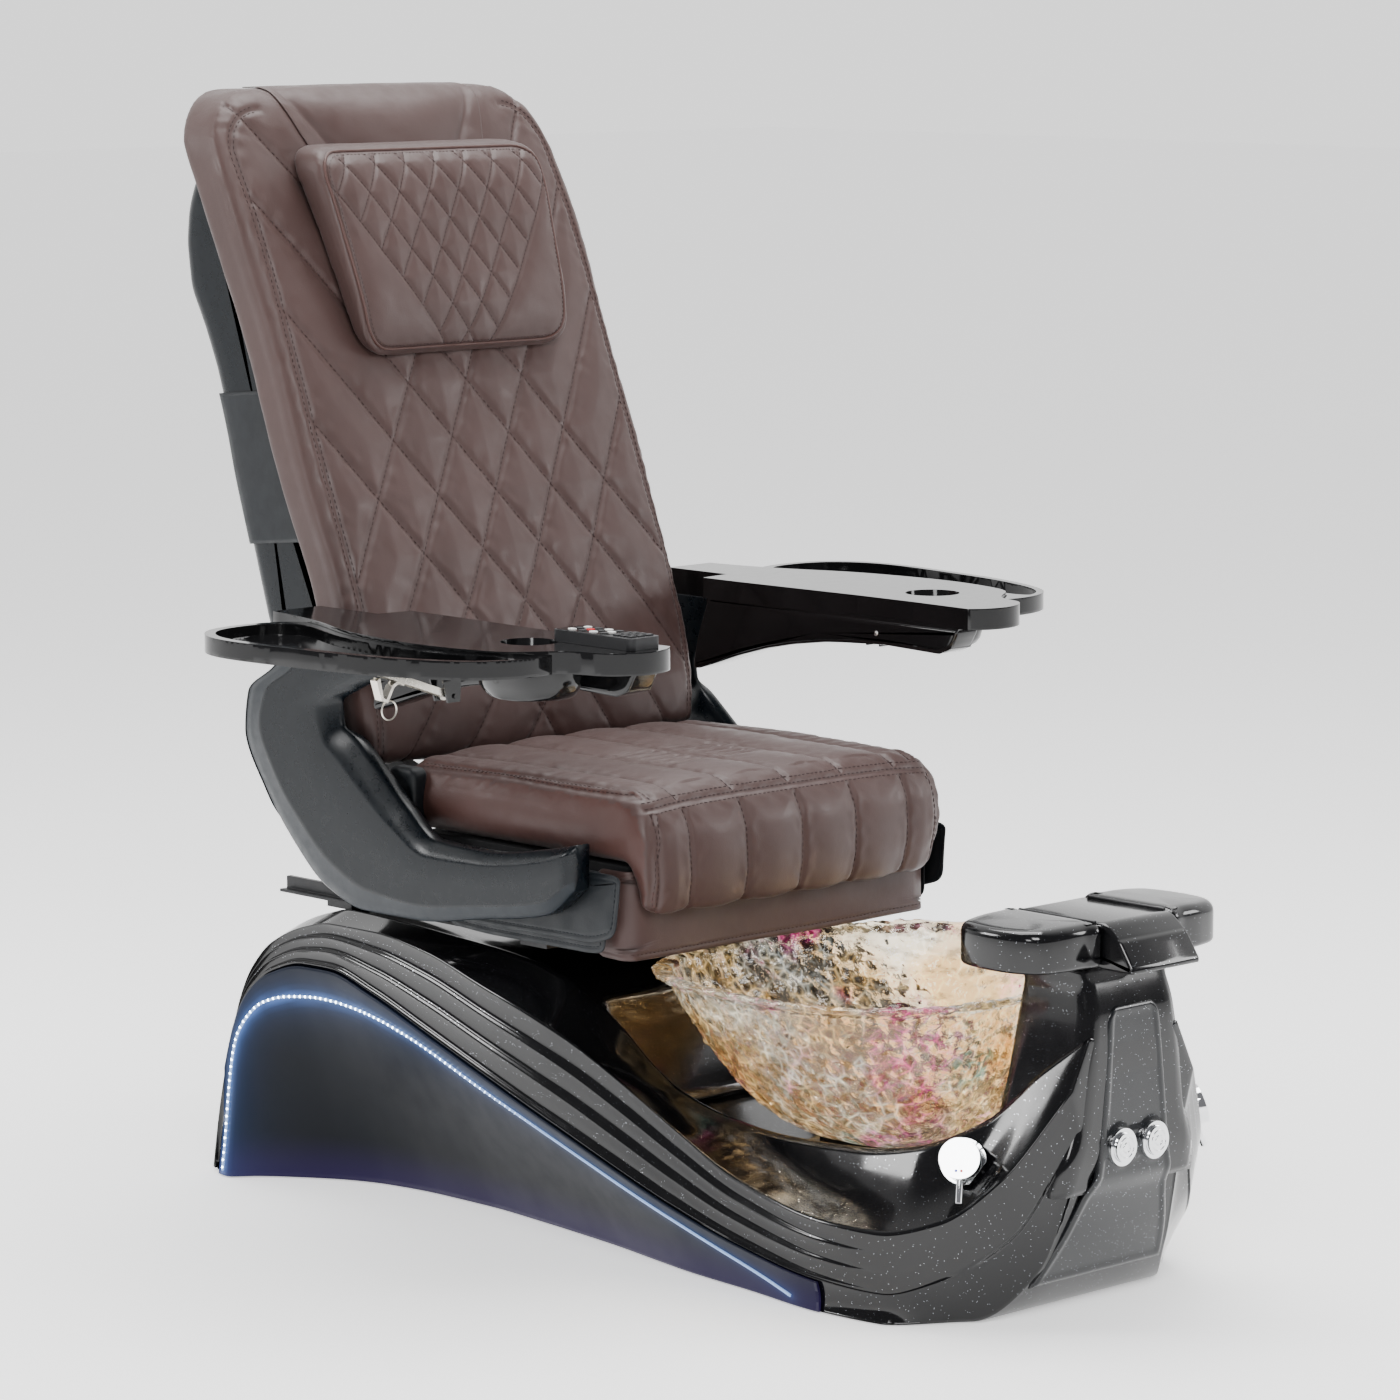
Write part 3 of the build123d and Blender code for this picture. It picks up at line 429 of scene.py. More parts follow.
def leather(name, dark, light, rough_low=0.38, rough_high=0.56):
    m = Nodes(name)
    patches = m.noise(9, 4)
    color = m.mix(patches, dark, light)
    pores = m.cells(900)
    color = m.mix(m.ramp(pores, [(0.0, 0.35), (0.35, 0.0)]), color, tuple(c * 0.6 for c in dark))
    creases = m.bump(m.noise(60, 5, 0.6), 0.25, 0.0012)
    grain = m.bump(pores, 0.22, 0.0004, creases)
    rough = m.ramp(m.noise(35, 3), [(0.3, rough_low), (0.7, rough_high)])
    return m.set(Base_Color=color, Roughness=rough, Normal=grain, Sheen_Weight=0.08, Sheen_Roughness=0.4,
                 Specular_IOR_Level=0.38)


def gelcoat(name, flake=1.0, rough=0.09, base=(0.0018, 0.0018, 0.0021)):
    m = Nodes(name)
    cells = m.add("TexVoronoi", feature="F1", Scale=1.0)
    m.link(m.place(430), cells.inputs["Vector"])
    near = m.math("LESS_THAN", cells.outputs["Distance"], 0.15)
    chosen = m.math("GREATER_THAN", m.first(cells.outputs["Color"]), 1.0 - 0.16 * flake)
    spark = m.math("MULTIPLY", near, chosen)
    tint = m.mix(m.noise(5, 3), base, tuple(c * 2.2 for c in base))
    color = m.mix(spark, tint, (0.75, 0.78, 0.85))
    wave = m.bump(m.noise(14, 2), 0.05, 0.002)
    haze = m.ramp(m.noise(26, 4), [(0.35, rough), (0.75, rough + 0.07)])
    return m.set(Base_Color=color, Roughness=haze, Metallic=m.math("MULTIPLY", spark, 0.9), Normal=wave,
                 Coat_Weight=0.15, Coat_Roughness=0.04, Specular_IOR_Level=0.42)


def plastic(name, dark, light, rough_low, rough_high, grain_scale=1500, grain=0.12, coat=0.0):
    m = Nodes(name)
    color = m.mix(m.noise(11, 4), dark, light)
    scuff = m.ramp(m.noise(70, 6, 0.7), [(0.35, rough_low), (0.7, rough_high)])
    skin = m.bump(m.noise(grain_scale, 2), grain, 0.0003)
    return m.set(Base_Color=color, Roughness=scuff, Normal=skin, Coat_Weight=coat, Coat_Roughness=0.06,
                 Specular_IOR_Level=0.32)


def metal(name, color, rough_low, rough_high, brushed=0.0):
    m = Nodes(name)
    tone = m.mix(m.noise(40, 5), tuple(c * 0.9 for c in color), color)
    rough = m.ramp(m.noise(160, 6, 0.7), [(0.35, rough_low), (0.75, rough_high)])
    mapping = m.add("Mapping", Scale=(60, 60, 2600))
    m.link(m.add("TexCoord").outputs["Object"], mapping.inputs["Vector"])
    lines = m.add("TexNoise", Scale=1.0, Detail=2.0)
    m.link(mapping.outputs["Vector"], lines.inputs["Vector"])
    return m.set(Base_Color=tone, Metallic=1.0, Roughness=rough,
                 Normal=m.bump(lines.outputs["Fac"], 0.03 + brushed, 0.0003))


def glow(name, color, strength, base=(0.8, 0.9, 1.0)):
    m = Nodes(name)
    tone = m.mix(m.noise(300, 2), base, tuple(c * 0.8 for c in base))
    return m.set(Base_Color=tone, Roughness=0.3, Emission_Color=color, Emission_Strength=strength)


def hammered_glass(name):
    m = Nodes(name)
    warm = m.ramp(m.noise(7, 3), [(0.40, 0.0), (0.60, 1.0)])
    amber = m.mix(warm, (0.90, 0.80, 0.62), (0.78, 0.50, 0.22))
    dents = m.cells(52, feature="SMOOTH_F1")
    relief = m.bump(m.noise(85, 3), 0.5, 0.004, m.bump(dents, 1.0, 0.008))
    # Painted highlights and reflections: the emission below makes the whole glass glow faintly in gold, pale, pink and
    # teal, and shine brightly along the edges of the hammered dents in patches.
    ridge = m.ramp(m.cells(60, feature="DISTANCE_TO_EDGE"), [(0.0, 1.0), (0.10, 0.25), (0.2, 0.0)])
    patch = m.ramp(m.noise(38, 3), [(0.42, 0.0), (0.60, 1.0)])
    glint = m.math("MULTIPLY", ridge, patch)
    pale = m.ramp(m.noise(9, 2), [(0.45, 0.0), (0.55, 1.0)])
    light = m.mix(pale, (1.0, 0.70, 0.30), (0.80, 0.85, 0.78))
    light = m.mix(m.ramp(m.noise(8.5, 2), [(0.54, 0.0), (0.61, 1.0)]), light, (1.0, 0.06, 0.42))
    light = m.mix(m.ramp(m.noise(11.5, 2), [(0.62, 0.0), (0.70, 1.0)]), light, (0.20, 0.80, 0.70))
    painted_shine = m.mix(glint, m.mix(1.0, light, (0.016, 0.016, 0.016), "MULTIPLY"), light)
    return m.set(Base_Color=amber, Roughness=m.ramp(m.noise(90, 3), [(0.3, 0.02), (0.8, 0.08)]),
                 Transmission_Weight=1.0, IOR=1.48, Normal=relief, Emission_Color=painted_shine, Emission_Strength=0.55)


def glow_painted_panel(name):
    """Smooth black panel with a painted blue glow of light beside its light strip and a painted violet glow near the
    floor.
    """
    m = Nodes(name)
    lit = m.add("Attribute", attribute_name="lit")
    split = m.add("SeparateColor")
    m.link(lit.outputs["Color"], split.inputs[0])
    shade = m.mix(m.noise(6, 3), (0.0022, 0.0030, 0.0048), (0.0040, 0.0056, 0.0088))
    # Painted light: the blue glow of the strip and the violet glow near the floor, given as emission.
    strip = m.mix(split.outputs[0], (0.0, 0.0, 0.0), (0.16, 0.34, 0.95))
    low = m.mix(split.outputs[1], (0.0, 0.0, 0.0), (0.020, 0.008, 0.065))
    return m.set(Base_Color=shade, Roughness=m.ramp(m.noise(30, 4), [(0.3, 0.30), (0.8, 0.42)]),
                 Emission_Color=m.mix(1.0, strip, low, "ADD"), Emission_Strength=0.8, Specular_IOR_Level=0.14,
                 Normal=m.bump(m.noise(900, 2), 0.05, 0.0003))


brown = leather("Leather_brown", (0.046, 0.0245, 0.0215), (0.071, 0.040, 0.036))
brown_side = leather("Leather_brown_side", (0.053, 0.022, 0.018), (0.078, 0.034, 0.028))
thread = plastic("Thread", (0.018, 0.008, 0.008), (0.034, 0.016, 0.015), 0.6, 0.8, 3000, 0.4)
navy_leather = leather("Leather_navy", (0.0014, 0.0030, 0.0048), (0.0030, 0.0056, 0.0085), 0.42, 0.6)
navy_thread = plastic("Thread_navy", (0.002, 0.004, 0.007), (0.005, 0.009, 0.014), 0.6, 0.8, 3000, 0.4)
navy = plastic("Plastic_navy", (0.0012, 0.0028, 0.0045), (0.0024, 0.0048, 0.0075), 0.24, 0.38, 1400, 0.10)
navy_trim = plastic("Plastic_navy_trim", (0.004, 0.007, 0.011), (0.007, 0.012, 0.017), 0.32, 0.46, 1400, 0.12)
gel = gelcoat("Gelcoat_black")
gel_fine = gelcoat("Gelcoat_smoke", 1.4, 0.2, (0.0035, 0.004, 0.0048))
gloss = plastic("Gloss_black", (0.003, 0.003, 0.0033), (0.006, 0.006, 0.0065), 0.07, 0.16, 900, 0.02, 0.2)
black = plastic("Black_plastic", (0.012, 0.012, 0.013), (0.022, 0.022, 0.024), 0.4, 0.6)
rubber = plastic("Rubber", (0.010, 0.010, 0.010), (0.018, 0.018, 0.018), 0.6, 0.8, 700, 0.3)
grey = plastic("Grey_plastic", (0.28, 0.28, 0.29), (0.40, 0.40, 0.41), 0.4, 0.55)
white = plastic("White_plastic", (0.70, 0.70, 0.68), (0.80, 0.80, 0.78), 0.35, 0.5)
chrome = metal("Chrome", (0.86, 0.87, 0.88), 0.04, 0.12)
steel = metal("Steel", (0.62, 0.61, 0.59), 0.22, 0.4, 0.08)
zinc = metal("Zinc", (0.78, 0.74, 0.66), 0.25, 0.42, 0.05)
dark_steel = plastic("Painted_steel", (0.010, 0.010, 0.011), (0.018, 0.018, 0.020), 0.3, 0.45, 500, 0.2)
# The seat pan is coloured near-black as painted shade, so that the gap between the seat cushion and the side covers
# reads dark.
board_as_shade = plastic("Board_painted_shade", (0.006, 0.006, 0.007), (0.012, 0.012, 0.013), 0.7, 0.85, 600, 0.5)
strip_tube = glow("Strip_cover", (0.25, 0.45, 1.0, 1), 0.35, (0.35, 0.5, 0.8))
strip_dot = glow("Strip_dot", (0.70, 0.86, 1.0, 1), 14.0)
bowl_lamp = glow("Bowl_lamp", (1.0, 0.25, 0.55, 1), 2.5)
glass = hammered_glass("Hammered_glass")
# Black panel with a painted glow of light from its strip and near the floor.
panel_painted_glow = glow_painted_panel("Panel_black_painted_glow")
red_dot = plastic("Red_mark", (0.55, 0.01, 0.01), (0.65, 0.02, 0.02), 0.2, 0.3)
blue_dot = plastic("Blue_mark", (0.01, 0.03, 0.5), (0.02, 0.05, 0.6), 0.2, 0.3)


def paint(obj, material):
    obj.data.materials.clear()
    obj.data.materials.append(material)
    return obj


def finished(obj, material, body):
    """Give a new piece its material and attach it to its body."""
    if material is not None:
        paint(obj, material)
    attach(obj, body)
    return obj


# Base: each table gives (y, half width, height) of one edge that runs along the side from rear to front

HULL_FRONT, HULL_REAR = -745, 628
FLOOR_HALF = 321.0              # the base's greatest half width at the floor
LIP = [
    (628, 294, 8), (615, 290, 92), (598, 284, 172), (575, 278, 252), (548, 272, 300), (505, 268, 340),
    (440, 266, 368), (386, 265, 380), (300, 264, 378), (200, 262, 372), (91, 255, 363), (0, 238, 342),
    (-40, 222, 310), (-70, 210, 282), (-110, 202, 245), (-160, 198, 216), (-240, 196, 195),
    (-350, 195, 186), (-480, 194, 192), (-570, 184, 208), (-640, 146, 244), (-700, 104, 312), (-745, 80, 350),
]
CREASE = [
    (628, 302, 6), (615, 302, 86), (598, 301, 164), (575, 300, 240), (548, 300, 288), (505, 300, 328),
    (440, 300, 356), (386, 300, 367), (300, 300, 368), (200, 300, 356), (91, 299, 325), (0, 295, 298),
    (-70, 288, 272), (-160, 281, 230), (-240, 277, 190), (-350, 275, 143), (-480, 273, 116), (-570, 260, 112),
    (-640, 226, 130), (-700, 180, 186), (-745, 112, 286),
]
EDGE = [
    (628, 306, 4), (615, 306, 78), (598, 306, 150), (575, 305, 222), (548, 305, 262), (505, 305, 292),
    (440, 305, 310), (386, 305, 311), (300, 305, 290), (200, 305, 256), (91, 304, 218), (0, 302, 186),
    (-70, 300, 162), (-160, 296, 130), (-240, 290, 102), (-350, 282, 71), (-480, 270, 46), (-570, 252, 40),
    (-640, 214, 66), (-700, 162, 118), (-745, 98, 240),
]
FLOOR = [
    (628, 300, 0), (615, 308, 0), (598, 318, 0), (575, 321, 0), (548, 291, 0), (505, 256, 0), (440, 215, 0),
    (386, 196, 0), (300, 184, 0), (200, 182, 0), (91, 190, 0), (0, 200, 0), (-70, 209, 0), (-160, 225, 0),
    (-240, 238, 0), (-350, 248, 0), (-480, 263, 0), (-570, 254, 0), (-640, 168, 0), (-700, 114, 62),
    (-745, 92, 205),
]
RECESS_Z = 164.0                # the floor of the hollow that holds the bowl
RIM_WIDTH, RIM_SLOPE = 9, 27    # the deck's flat rim, and the slope inside it down to the hollow
FINS = 3
FIN_STEPS = 12                  # points on each fin
WALL_BOW = 5.5                  # how far the wall behind the light panel bends inwards


def hull_half(y):
    """(x, z) points of the base's left half at one y, from under its middle to the middle of the deck."""
    (lw, lz), (cw, cz) = curve(LIP, y)[0], curve(CREASE, y)[0]
    (ew, ez), (fw, fz) = curve(EDGE, y)[0], curve(FLOOR, y)[0]
    fw = min(fw, FLOOR_HALF)
    points = [(0, fz + 1), (fw * 0.5, fz + 1), (fw - 6, fz + 1), (fw, fz + 2)]
    for t in (0.03, 0.1, 0.2, 0.3, 0.4, 0.5, 0.6, 0.7, 0.8, 0.9, 0.955):
        points.append((fw + (ew - fw) * t - WALL_BOW * math.sin(math.pi * t), fz + (ez - fz) * t))
    points.append((ew - 3, ez - 3))
    points.append((ew, ez))
    depth = 8.0 * float(smooth(-600, -380, y)) * float(smooth(HULL_REAR, 540, y)) + 0.4
    steps = FIN_STEPS * FINS
    for k in range(1, steps):
        t = k / steps
        within = (k % FIN_STEPS) / FIN_STEPS
        scallop = within ** 0.35 * (1 - within) ** 0.9 * 1.45
        points.append((ew + (cw - ew) * t - depth * scallop, ez + (cz - ez) * t))
    points.append((cw, cz))
    hollow = 9.0 * float(smooth(-40, -200, y)) * float(smooth(-740, -600, y))
    for t in (0.06, 0.2, 0.4, 0.6, 0.8, 0.93):
        dip = hollow * math.sin(math.pi * t)
        points.append((cw + (lw - cw) * t - dip * 0.5, cz + (lz - cz) * t - dip))
    points.append((lw, lz))
    points.append((lw - 4, lz + 1.2))
    points.append((lw - RIM_WIDTH, lz - 1))
    share = float(smooth(-34, -60, y)) * float(smooth(-622, -594, y))
    deck = lz + (RECESS_Z - lz) * share
    for t in (0.1, 0.25, 0.45, 0.65, 0.85, 1.0):
        bend = t * t * (3 - 2 * t)
        points.append((lw - RIM_WIDTH - RIM_SLOPE * t, lz - 1 + (deck - lz + 1) * bend))
    inner = lw - (RIM_WIDTH + RIM_SLOPE)
    for t in (0.7, 0.35, 0.0):
        points.append((inner * t, deck))
    return points


def make_hull():
    stations = list(np.arange(HULL_FRONT, 600, 6.0)) + [600, 606, 612, 617, 621, 625, HULL_REAR]
    stations += [-36, -42, -48, -54, -60, -594, -600, -606, -612, -618, -624]
    rings = []
    for y in sorted(set(stations)):
        half = np.array(hull_half(y))
        mirror = half[-2:0:-1] * [-1, 1]
        loop = np.vstack([half, mirror])
        rings.append(place(loop, y, "Y"))
    first = rings[0]
    middle = first.mean(axis=0)
    caps = []
    for back, share in ((1.6, 0.90), (1.2, 0.96), (0.6, 0.99)):
        ring = middle + (first - middle) * share
        ring[:, 1] = HULL_FRONT - back
        caps.append(ring)
    obj = loft("Base_hull", caps + rings)
    finished(obj, gel, "base")
    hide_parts("tub_shell")


def side_point(y, z, out):
    """A point on the left side wall between the lowest fin and the floor, moved outwards."""
    (ew, ez), (fw, fz) = curve(EDGE, y)[0], curve(FLOOR, y)[0]
    share = (z - fz) / max(ez - fz, 1)
    bow = -4 * math.sin(math.pi * min(max(share, 0), 1))
    fw = min(fw, FLOOR_HALF)
    return (fw + (ew - fw) * share + out + bow, y, z)


def lit_by_strip(obj):
    """Store how far the strip's light reaches each point of a panel, and how near the floor each point is, for the
    panel's painted glow.
    """
    co = coords(obj)
    near = segment_distance(co[:, 1:], [STRIP])
    # Painted light: the strip's glow is stronger towards the rear, and a violet glow grows towards the floor.
    bright = 0.25 + 0.75 * smooth(-120, 420, co[:, 1])
    strip = (0.9 * np.exp(-near / 4.5) + 0.16 * np.exp(-near / 22)) * bright
    low = smooth(70, 0, co[:, 2])
    values = np.stack([strip, low, np.zeros(len(co)), np.ones(len(co))], 1)
    layer = obj.data.attributes.new("lit", "FLOAT_COLOR", "POINT")
    layer.data.foreach_set("color", values.ravel())


def make_side_panels():
    """The recessed light panel on each side."""
    rows = []
    for y in np.concatenate([np.arange(-481, 590, 6.0), [591, 597]]):
        ez = curve(EDGE, y)[0][1]
        top, low = ez - 6, 2.0
        ring = [side_point(y, low + (top - low) * t, 1.0) for t in np.linspace(0, 1, 34)]
        ring.append(side_point(y, top, 3.2))
        ring += [side_point(y, low + (top - low) * t, 4.2) for t in np.linspace(0.985, 0, 34)]
        rows.append(np.array(ring))
    obj = loft("Light_panel_left", rows)
    lit_by_strip(obj)
    finished(obj, panel_painted_glow, "base")
    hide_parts("light_panel_left")
    other = mirror_copy(obj, "Light_panel_right")
    lit_by_strip(other)
    finished(other, None, "base")
    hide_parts("light_panel_right")


STRIP = [
    (586, 8), (586, 60), (585, 100), (580, 150), (570, 190), (552, 220), (524, 243), (480, 257), (415, 263),
    (334, 257), (235, 237), (100, 190), (0, 156), (-88, 126), (-180, 95), (-268, 66), (-350, 39), (-432, 13),
]


DOTS = 128
DOT_SIDES = 8
DOT_RINGS = ((1.0, -0.8), (0.95, 0.3), (0.6, 1.0))      # share of the dot's width, and height above the cover


def make_strips():
    """The light strip round each panel: a round cover with a row of small domes on it."""
    line = np.array(STRIP, float)
    length = run_length(line)
    rows = [(s, *p) for s, p in zip(length, line)]

    def on_wall(s, out):
        y, z = curve(rows, s)[0]
        return np.array(side_point(y, z, out))

    cover = tube("Led_cover_left", [on_wall(s, 4.9) for s in np.linspace(0, length[-1], 260)], 2.1, 8)
    finished(cover, strip_tube, "base")
    verts, faces = [], []
    out = np.array([1.0, 0, 0])
    for k in range(DOTS):
        s = length[-1] * (k + 0.5) / DOTS
        here, ahead = on_wall(s, 6.0), on_wall(min(s + 2, length[-1]), 6.0)
        along = ahead - here
        along /= max(np.linalg.norm(along), 1e-6)
        up = np.cross([1, 0, 0], along)
        size = 1.0 - 0.45 * float(smooth(0.30, 0.9, s / length[-1]))
        add_bead_faces(faces, len(verts), DOT_SIDES, len(DOT_RINGS))
        for reach, lift in DOT_RINGS:
            for turn in np.linspace(0, 2 * math.pi, DOT_SIDES, endpoint=False):
                verts.append(here + along * math.cos(turn) * 2.9 * size * reach
                             + up * math.sin(turn) * 1.9 * size * reach + out * lift * size)
    dots = new_object("Led_dots_left", verts, faces)
    finished(dots, strip_dot, "base")
    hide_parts("led_strip_left")
    other = finished(mirror_copy(cover, "Led_cover_right"), None, "base")
    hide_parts("led_strip_right")
    finished(mirror_copy(dots, "Led_dots_right"), None, "base")


def rounded_box_ring(half_x, y0, y1, radius, z, count=56):
    loop = filleted(rectangle(half_x, -half_x, y0, y1), radius, 8)
    return place(resample(loop, count), z, "Z")


PEDESTAL = [                    # (z, half width, rear y, front y)
    (150, 116, -604, -736), (215, 104, -610, -748), (304, 90, -621, -748), (371, 80, -628, -744),
    (433, 74, -634, -728),
]
FRONT = [(40, -688), (100, -716), (150, -733), (180, -748), (245, -748), (304, -747), (371, -744), (392, -740)]
ACCESS = [(42, 118), (66, 110), (195, 66), (330, 51), (368, 47), (380, 38), (385, 26)]      # (z, half width)
BUTTON_X, BUTTON_Z = 29, 213


def make_pedestal():
    rings = []
    for z in np.linspace(160, 433, 34):
        half, rear, front = curve(PEDESTAL, z)[0]
        flare = 7 * float(smooth(405, 433, z)) + 10 * float(smooth(250, 190, z))
        rings.append(rounded_box_ring(half + flare, rear + flare * 0.5, front - 0.5, 13, z))
    obj = loft("Pedestal_shell", rings)
    finished(obj, gel, "base")
    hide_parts("footrest_pedestal")


def make_access_panel():
    """The pedestal's front panel, with a raised middle and a hollow plate behind the two buttons."""
    low, high = ACCESS[0][0], ACCESS[-1][0]
    rows = []
    for z in np.linspace(low, high, 90):
        half = curve(ACCESS, z)[0][0]
        y = curve(FRONT, z)[0][0] - 3
        row = []
        for u in np.linspace(-1, 1, 57):
            edge = min((1 - abs(u)) * half, (z - low), (high - z))
            fall = 5.0 * (1 - math.sqrt(max(0, 1 - (1 - min(edge / 7.0, 1)) ** 2)))
            x = u * half
            near = min(math.hypot(x - side * BUTTON_X, z - BUTTON_Z) for side in (1, -1))
            plate = 1 - float(smooth(24, 29, near))
            band = 1 - float(smooth(17, 22, abs(z - BUTTON_Z))) if abs(x) < BUTTON_X else 0
            inner = float(smooth(9, 13, edge))
            row.append((x, y + fall + 1.6 * inner - 2.0 * max(plate, band), z))
        rows.append(row)
    panel = open_grid("Access_panel", rows)
    thickened(panel, 4, -1 if panel.data.polygons[0].normal.y < 0 else 1)
    finished(panel, gel_fine, "base")
    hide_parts("access_panel")


def make_footrest():
    profile = filleted([(-606, 431), (-606, 489), (-752, 489.5), (-775, 470), (-797, 437), (-797, 431)], 9)
    profile = resample(profile, 150)
    centre = slab("Footrest_centre", profile, "X", -61.6, 61.6, 5, 5)
    co = coords(centre)
    co[:, 2] -= 2.2 * (co[:, 0] / 62) ** 2 * (co[:, 2] > 470)
    set_coords(centre, co)
    finished(centre, gel, "base")
    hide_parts("footrest_centre")
    wing_loop = spline_loop([
        (63.2, -606), (100, -605), (140, -606), (164, -615), (175, -640), (178, -676), (173, -710), (156, -736),
        (124, -746), (90, -748), (63.2, -747), (63.2, -700), (63.2, -650),
    ], 130)
    wing_loop[:, 0] = np.maximum(wing_loop[:, 0], 63.0)
    for side, name in SIDES:
        loop = wing_loop * [side, 1]
        wing = slab("Footrest_wing_" + name, loop, "Z", 435, 490, 7, 12, 7)
        co = coords(wing)
        fall = smooth(100, 178, np.abs(co[:, 0])) * 3.5 + smooth(-715, -750, co[:, 1]) * 2.5
        co[:, 2] -= fall * (co[:, 2] > 470)
        set_coords(wing, co)
        finished(wing, gel, "footrest_wing_" + name)
        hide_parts("footrest_wing_" + name)


# Bowl

BOWL = [                        # (z, half width, half length, y of the middle)
    (172, 112, 102, -385), (176, 132, 120, -385), (188, 152, 138, -385), (214, 186, 166, -381),
    (260, 220, 196, -371), (310, 246, 222, -360), (345, 262, 238, -353), (364, 270, 245, -350),
]
BOWL_RIM = ((365, 5), (367.5, 12), (370, 17), (373, 18.4), (375.5, 17), (376.5, 13), (376, 6), (374, -2))


def bowl_ring(z, a, b, cy, power=2.8, count=220):
    turn = np.linspace(0, 2 * math.pi, count, endpoint=False)
    c, s = np.cos(turn), np.sin(turn)
    x = a * np.sign(c) * np.abs(c) ** (2 / power)
    y = cy + b * np.sign(s) * np.abs(s) ** (2 / power)
    return np.stack([x, y, np.full(count, float(z))], 1)


def make_bowl():
    rings = [bowl_ring(172, 20, 18, -385), bowl_ring(172, 70, 62, -385)]
    for z in np.concatenate([[172, 174, 177, 181], np.linspace(188, 362, 42)]):
        rings.append(bowl_ring(z, *curve(BOWL, z)[0]))
    for z, grow in BOWL_RIM:
        rings.append(bowl_ring(z, 270 + grow, 240 + grow, -350))
    for z in np.linspace(366, 190, 42):
        a, b, cy = curve(BOWL, z)[0]
        rings.append(bowl_ring(z, a - 7, b - 7, cy))
    rings += [bowl_ring(182, 132, 120, -385), bowl_ring(180, 90, 82, -385), bowl_ring(180, 20, 18, -385)]
    obj = loft("Foot_bowl", rings)
    co, n = coords(obj), vertex_normals(obj)
    wall = smooth(176, 190, co[:, 2])
    dents = noise(co * [1.2, 1.2, 0.8], 8.5) + 0.7 * noise(co, 4.6, 3.0)
    ripple = noise(co, 15, 5.0)
    set_coords(obj, co + n * ((dents * 1.9 + ripple) * wall)[:, None])
    finished(obj, glass, "base")
    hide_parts("foot_bowl")


# Soft goods

def segment_distance(points, lines):
    """Distance of 2-D points to the nearest of some polylines."""
    best = np.full(len(points), 1e9)
    for line in lines:
        for a, b in zip(line, line[1:]):
            a, b = np.array(a, float), np.array(b, float)
            d = b - a
            t = np.clip((points - a) @ d / max(d @ d, 1e-9), 0, 1)
            best = np.minimum(best, np.linalg.norm(points - a - t[:, None] * d, axis=1))
    return best


AXES = {"front": (0, 2), "top": (0, 1), "side": (1, 2)}
FACING = {"front": np.array([0, -1.0, 0]), "top": np.array([0, 0, 1.0]), "side": np.array([-1.0, 0, 0])}


def seam_distance(co, normal, seams, least=0.25):
    """Distance of each point to the nearest seam on the face that it lies on."""
    best = np.full(len(co), 1e9)
    for facing, lines in seams:
        way = FACING[facing]
        reach = np.abs(normal @ way) if facing == "side" else normal @ way
        chosen = reach > least
        if chosen.any():
            found = segment_distance(co[chosen][:, AXES[facing]], lines)
            best[chosen] = np.minimum(best[chosen], found)
    return best


def puffed(obj, seams, held, cap, pressure=4.0, frames=20):
    """Fill a pad by cloth simulation, held at its seams and where held says so."""
    co, normal = coords(obj), vertex_normals(obj)
    near = seam_distance(co, normal, seams)
    pins = np.where(near < 5.0, 1.0, 0.0)
    pins = np.maximum(pins, held(co))
    group = obj.vertex_groups.new(name="pins")
    group.add([int(i) for i in np.nonzero(pins > 0.5)[0]], 1.0, "REPLACE")
    cloth = obj.modifiers.new("Cloth", "CLOTH")
    settings = cloth.settings
    settings.quality = 4
    settings.mass = 0.4
    settings.tension_stiffness = 12
    settings.compression_stiffness = 12
    settings.shear_stiffness = 6
    settings.bending_stiffness = 0.6
    settings.use_pressure = True
    settings.uniform_pressure_force = pressure
    settings.effector_weights.gravity = 0
    settings.vertex_group_mass = "pins"
    cloth.collision_settings.use_collision = False
    cloth.point_cache.frame_start = 1
    cloth.point_cache.frame_end = frames
    for number in range(1, frames + 1):
        scene.frame_set(number)
    apply_all(obj)
    scene.frame_set(1)
    moved = coords(obj) - co
    size = np.linalg.norm(moved, axis=1)
    share = np.minimum(1, cap / np.maximum(size, 1e-6))
    set_coords(obj, co + moved * share[:, None])
    obj.vertex_groups.clear()


def sewn(obj, seams, groove=2.6, width=3.2, puff=0.0, puff_width=26.0, wrinkle=0.7):
    """Press seams into a pad, raise it between them and pucker it beside them."""
    co, normal = coords(obj), vertex_normals(obj)
    near = seam_distance(co, normal, seams)
    far = np.minimum(near, 400)
    lift = puff * (1 - np.exp(-(far / puff_width) ** 2))
    press = -groove * np.exp(-(far / width) ** 2)
    pucker = wrinkle * noise(co, 9.0) * np.exp(-((far - 9) / 11.0) ** 2)
    hide = 0.35 * noise(co, 26.0, 2.0)
    reach = (near < 1e8).astype(float)
    set_coords(obj, co + normal * ((lift + press + pucker) * reach + hide)[:, None])


LOOKS = {                       # the start and the way of a look at a piece from one side
    "front": (lambda a, b: (a, -900, b), (0, 1, 0)),
    "top": (lambda a, b: (a, b, 1700), (0, 0, -1)),
    "left": (lambda a, b: (900, a, b), (-1, 0, 0)),
    "right": (lambda a, b: (-900, a, b), (1, 0, 0)),
}


def surface(obj):
    """A function that gives the point and the normal that a look from one side meets on a finished piece."""
    tree = BVHTree.FromObject(obj, bpy.context.evaluated_depsgraph_get())

    def met(facing, a, b):
        start, way = LOOKS[facing]
        hit, normal, _, _ = tree.ray_cast(Vector(start(a, b)) * MM, Vector(way))
        return (None, None) if hit is None else (np.array(hit) / MM, np.array(normal))

    return met


STITCH_SIDES = 5
STITCH_RINGS = ((-0.02, 0.4, 0.5), (0.18, 1, 0.0), (0.82, 1, 0.0), (1.02, 0.4, 0.5))    # place, size, sink


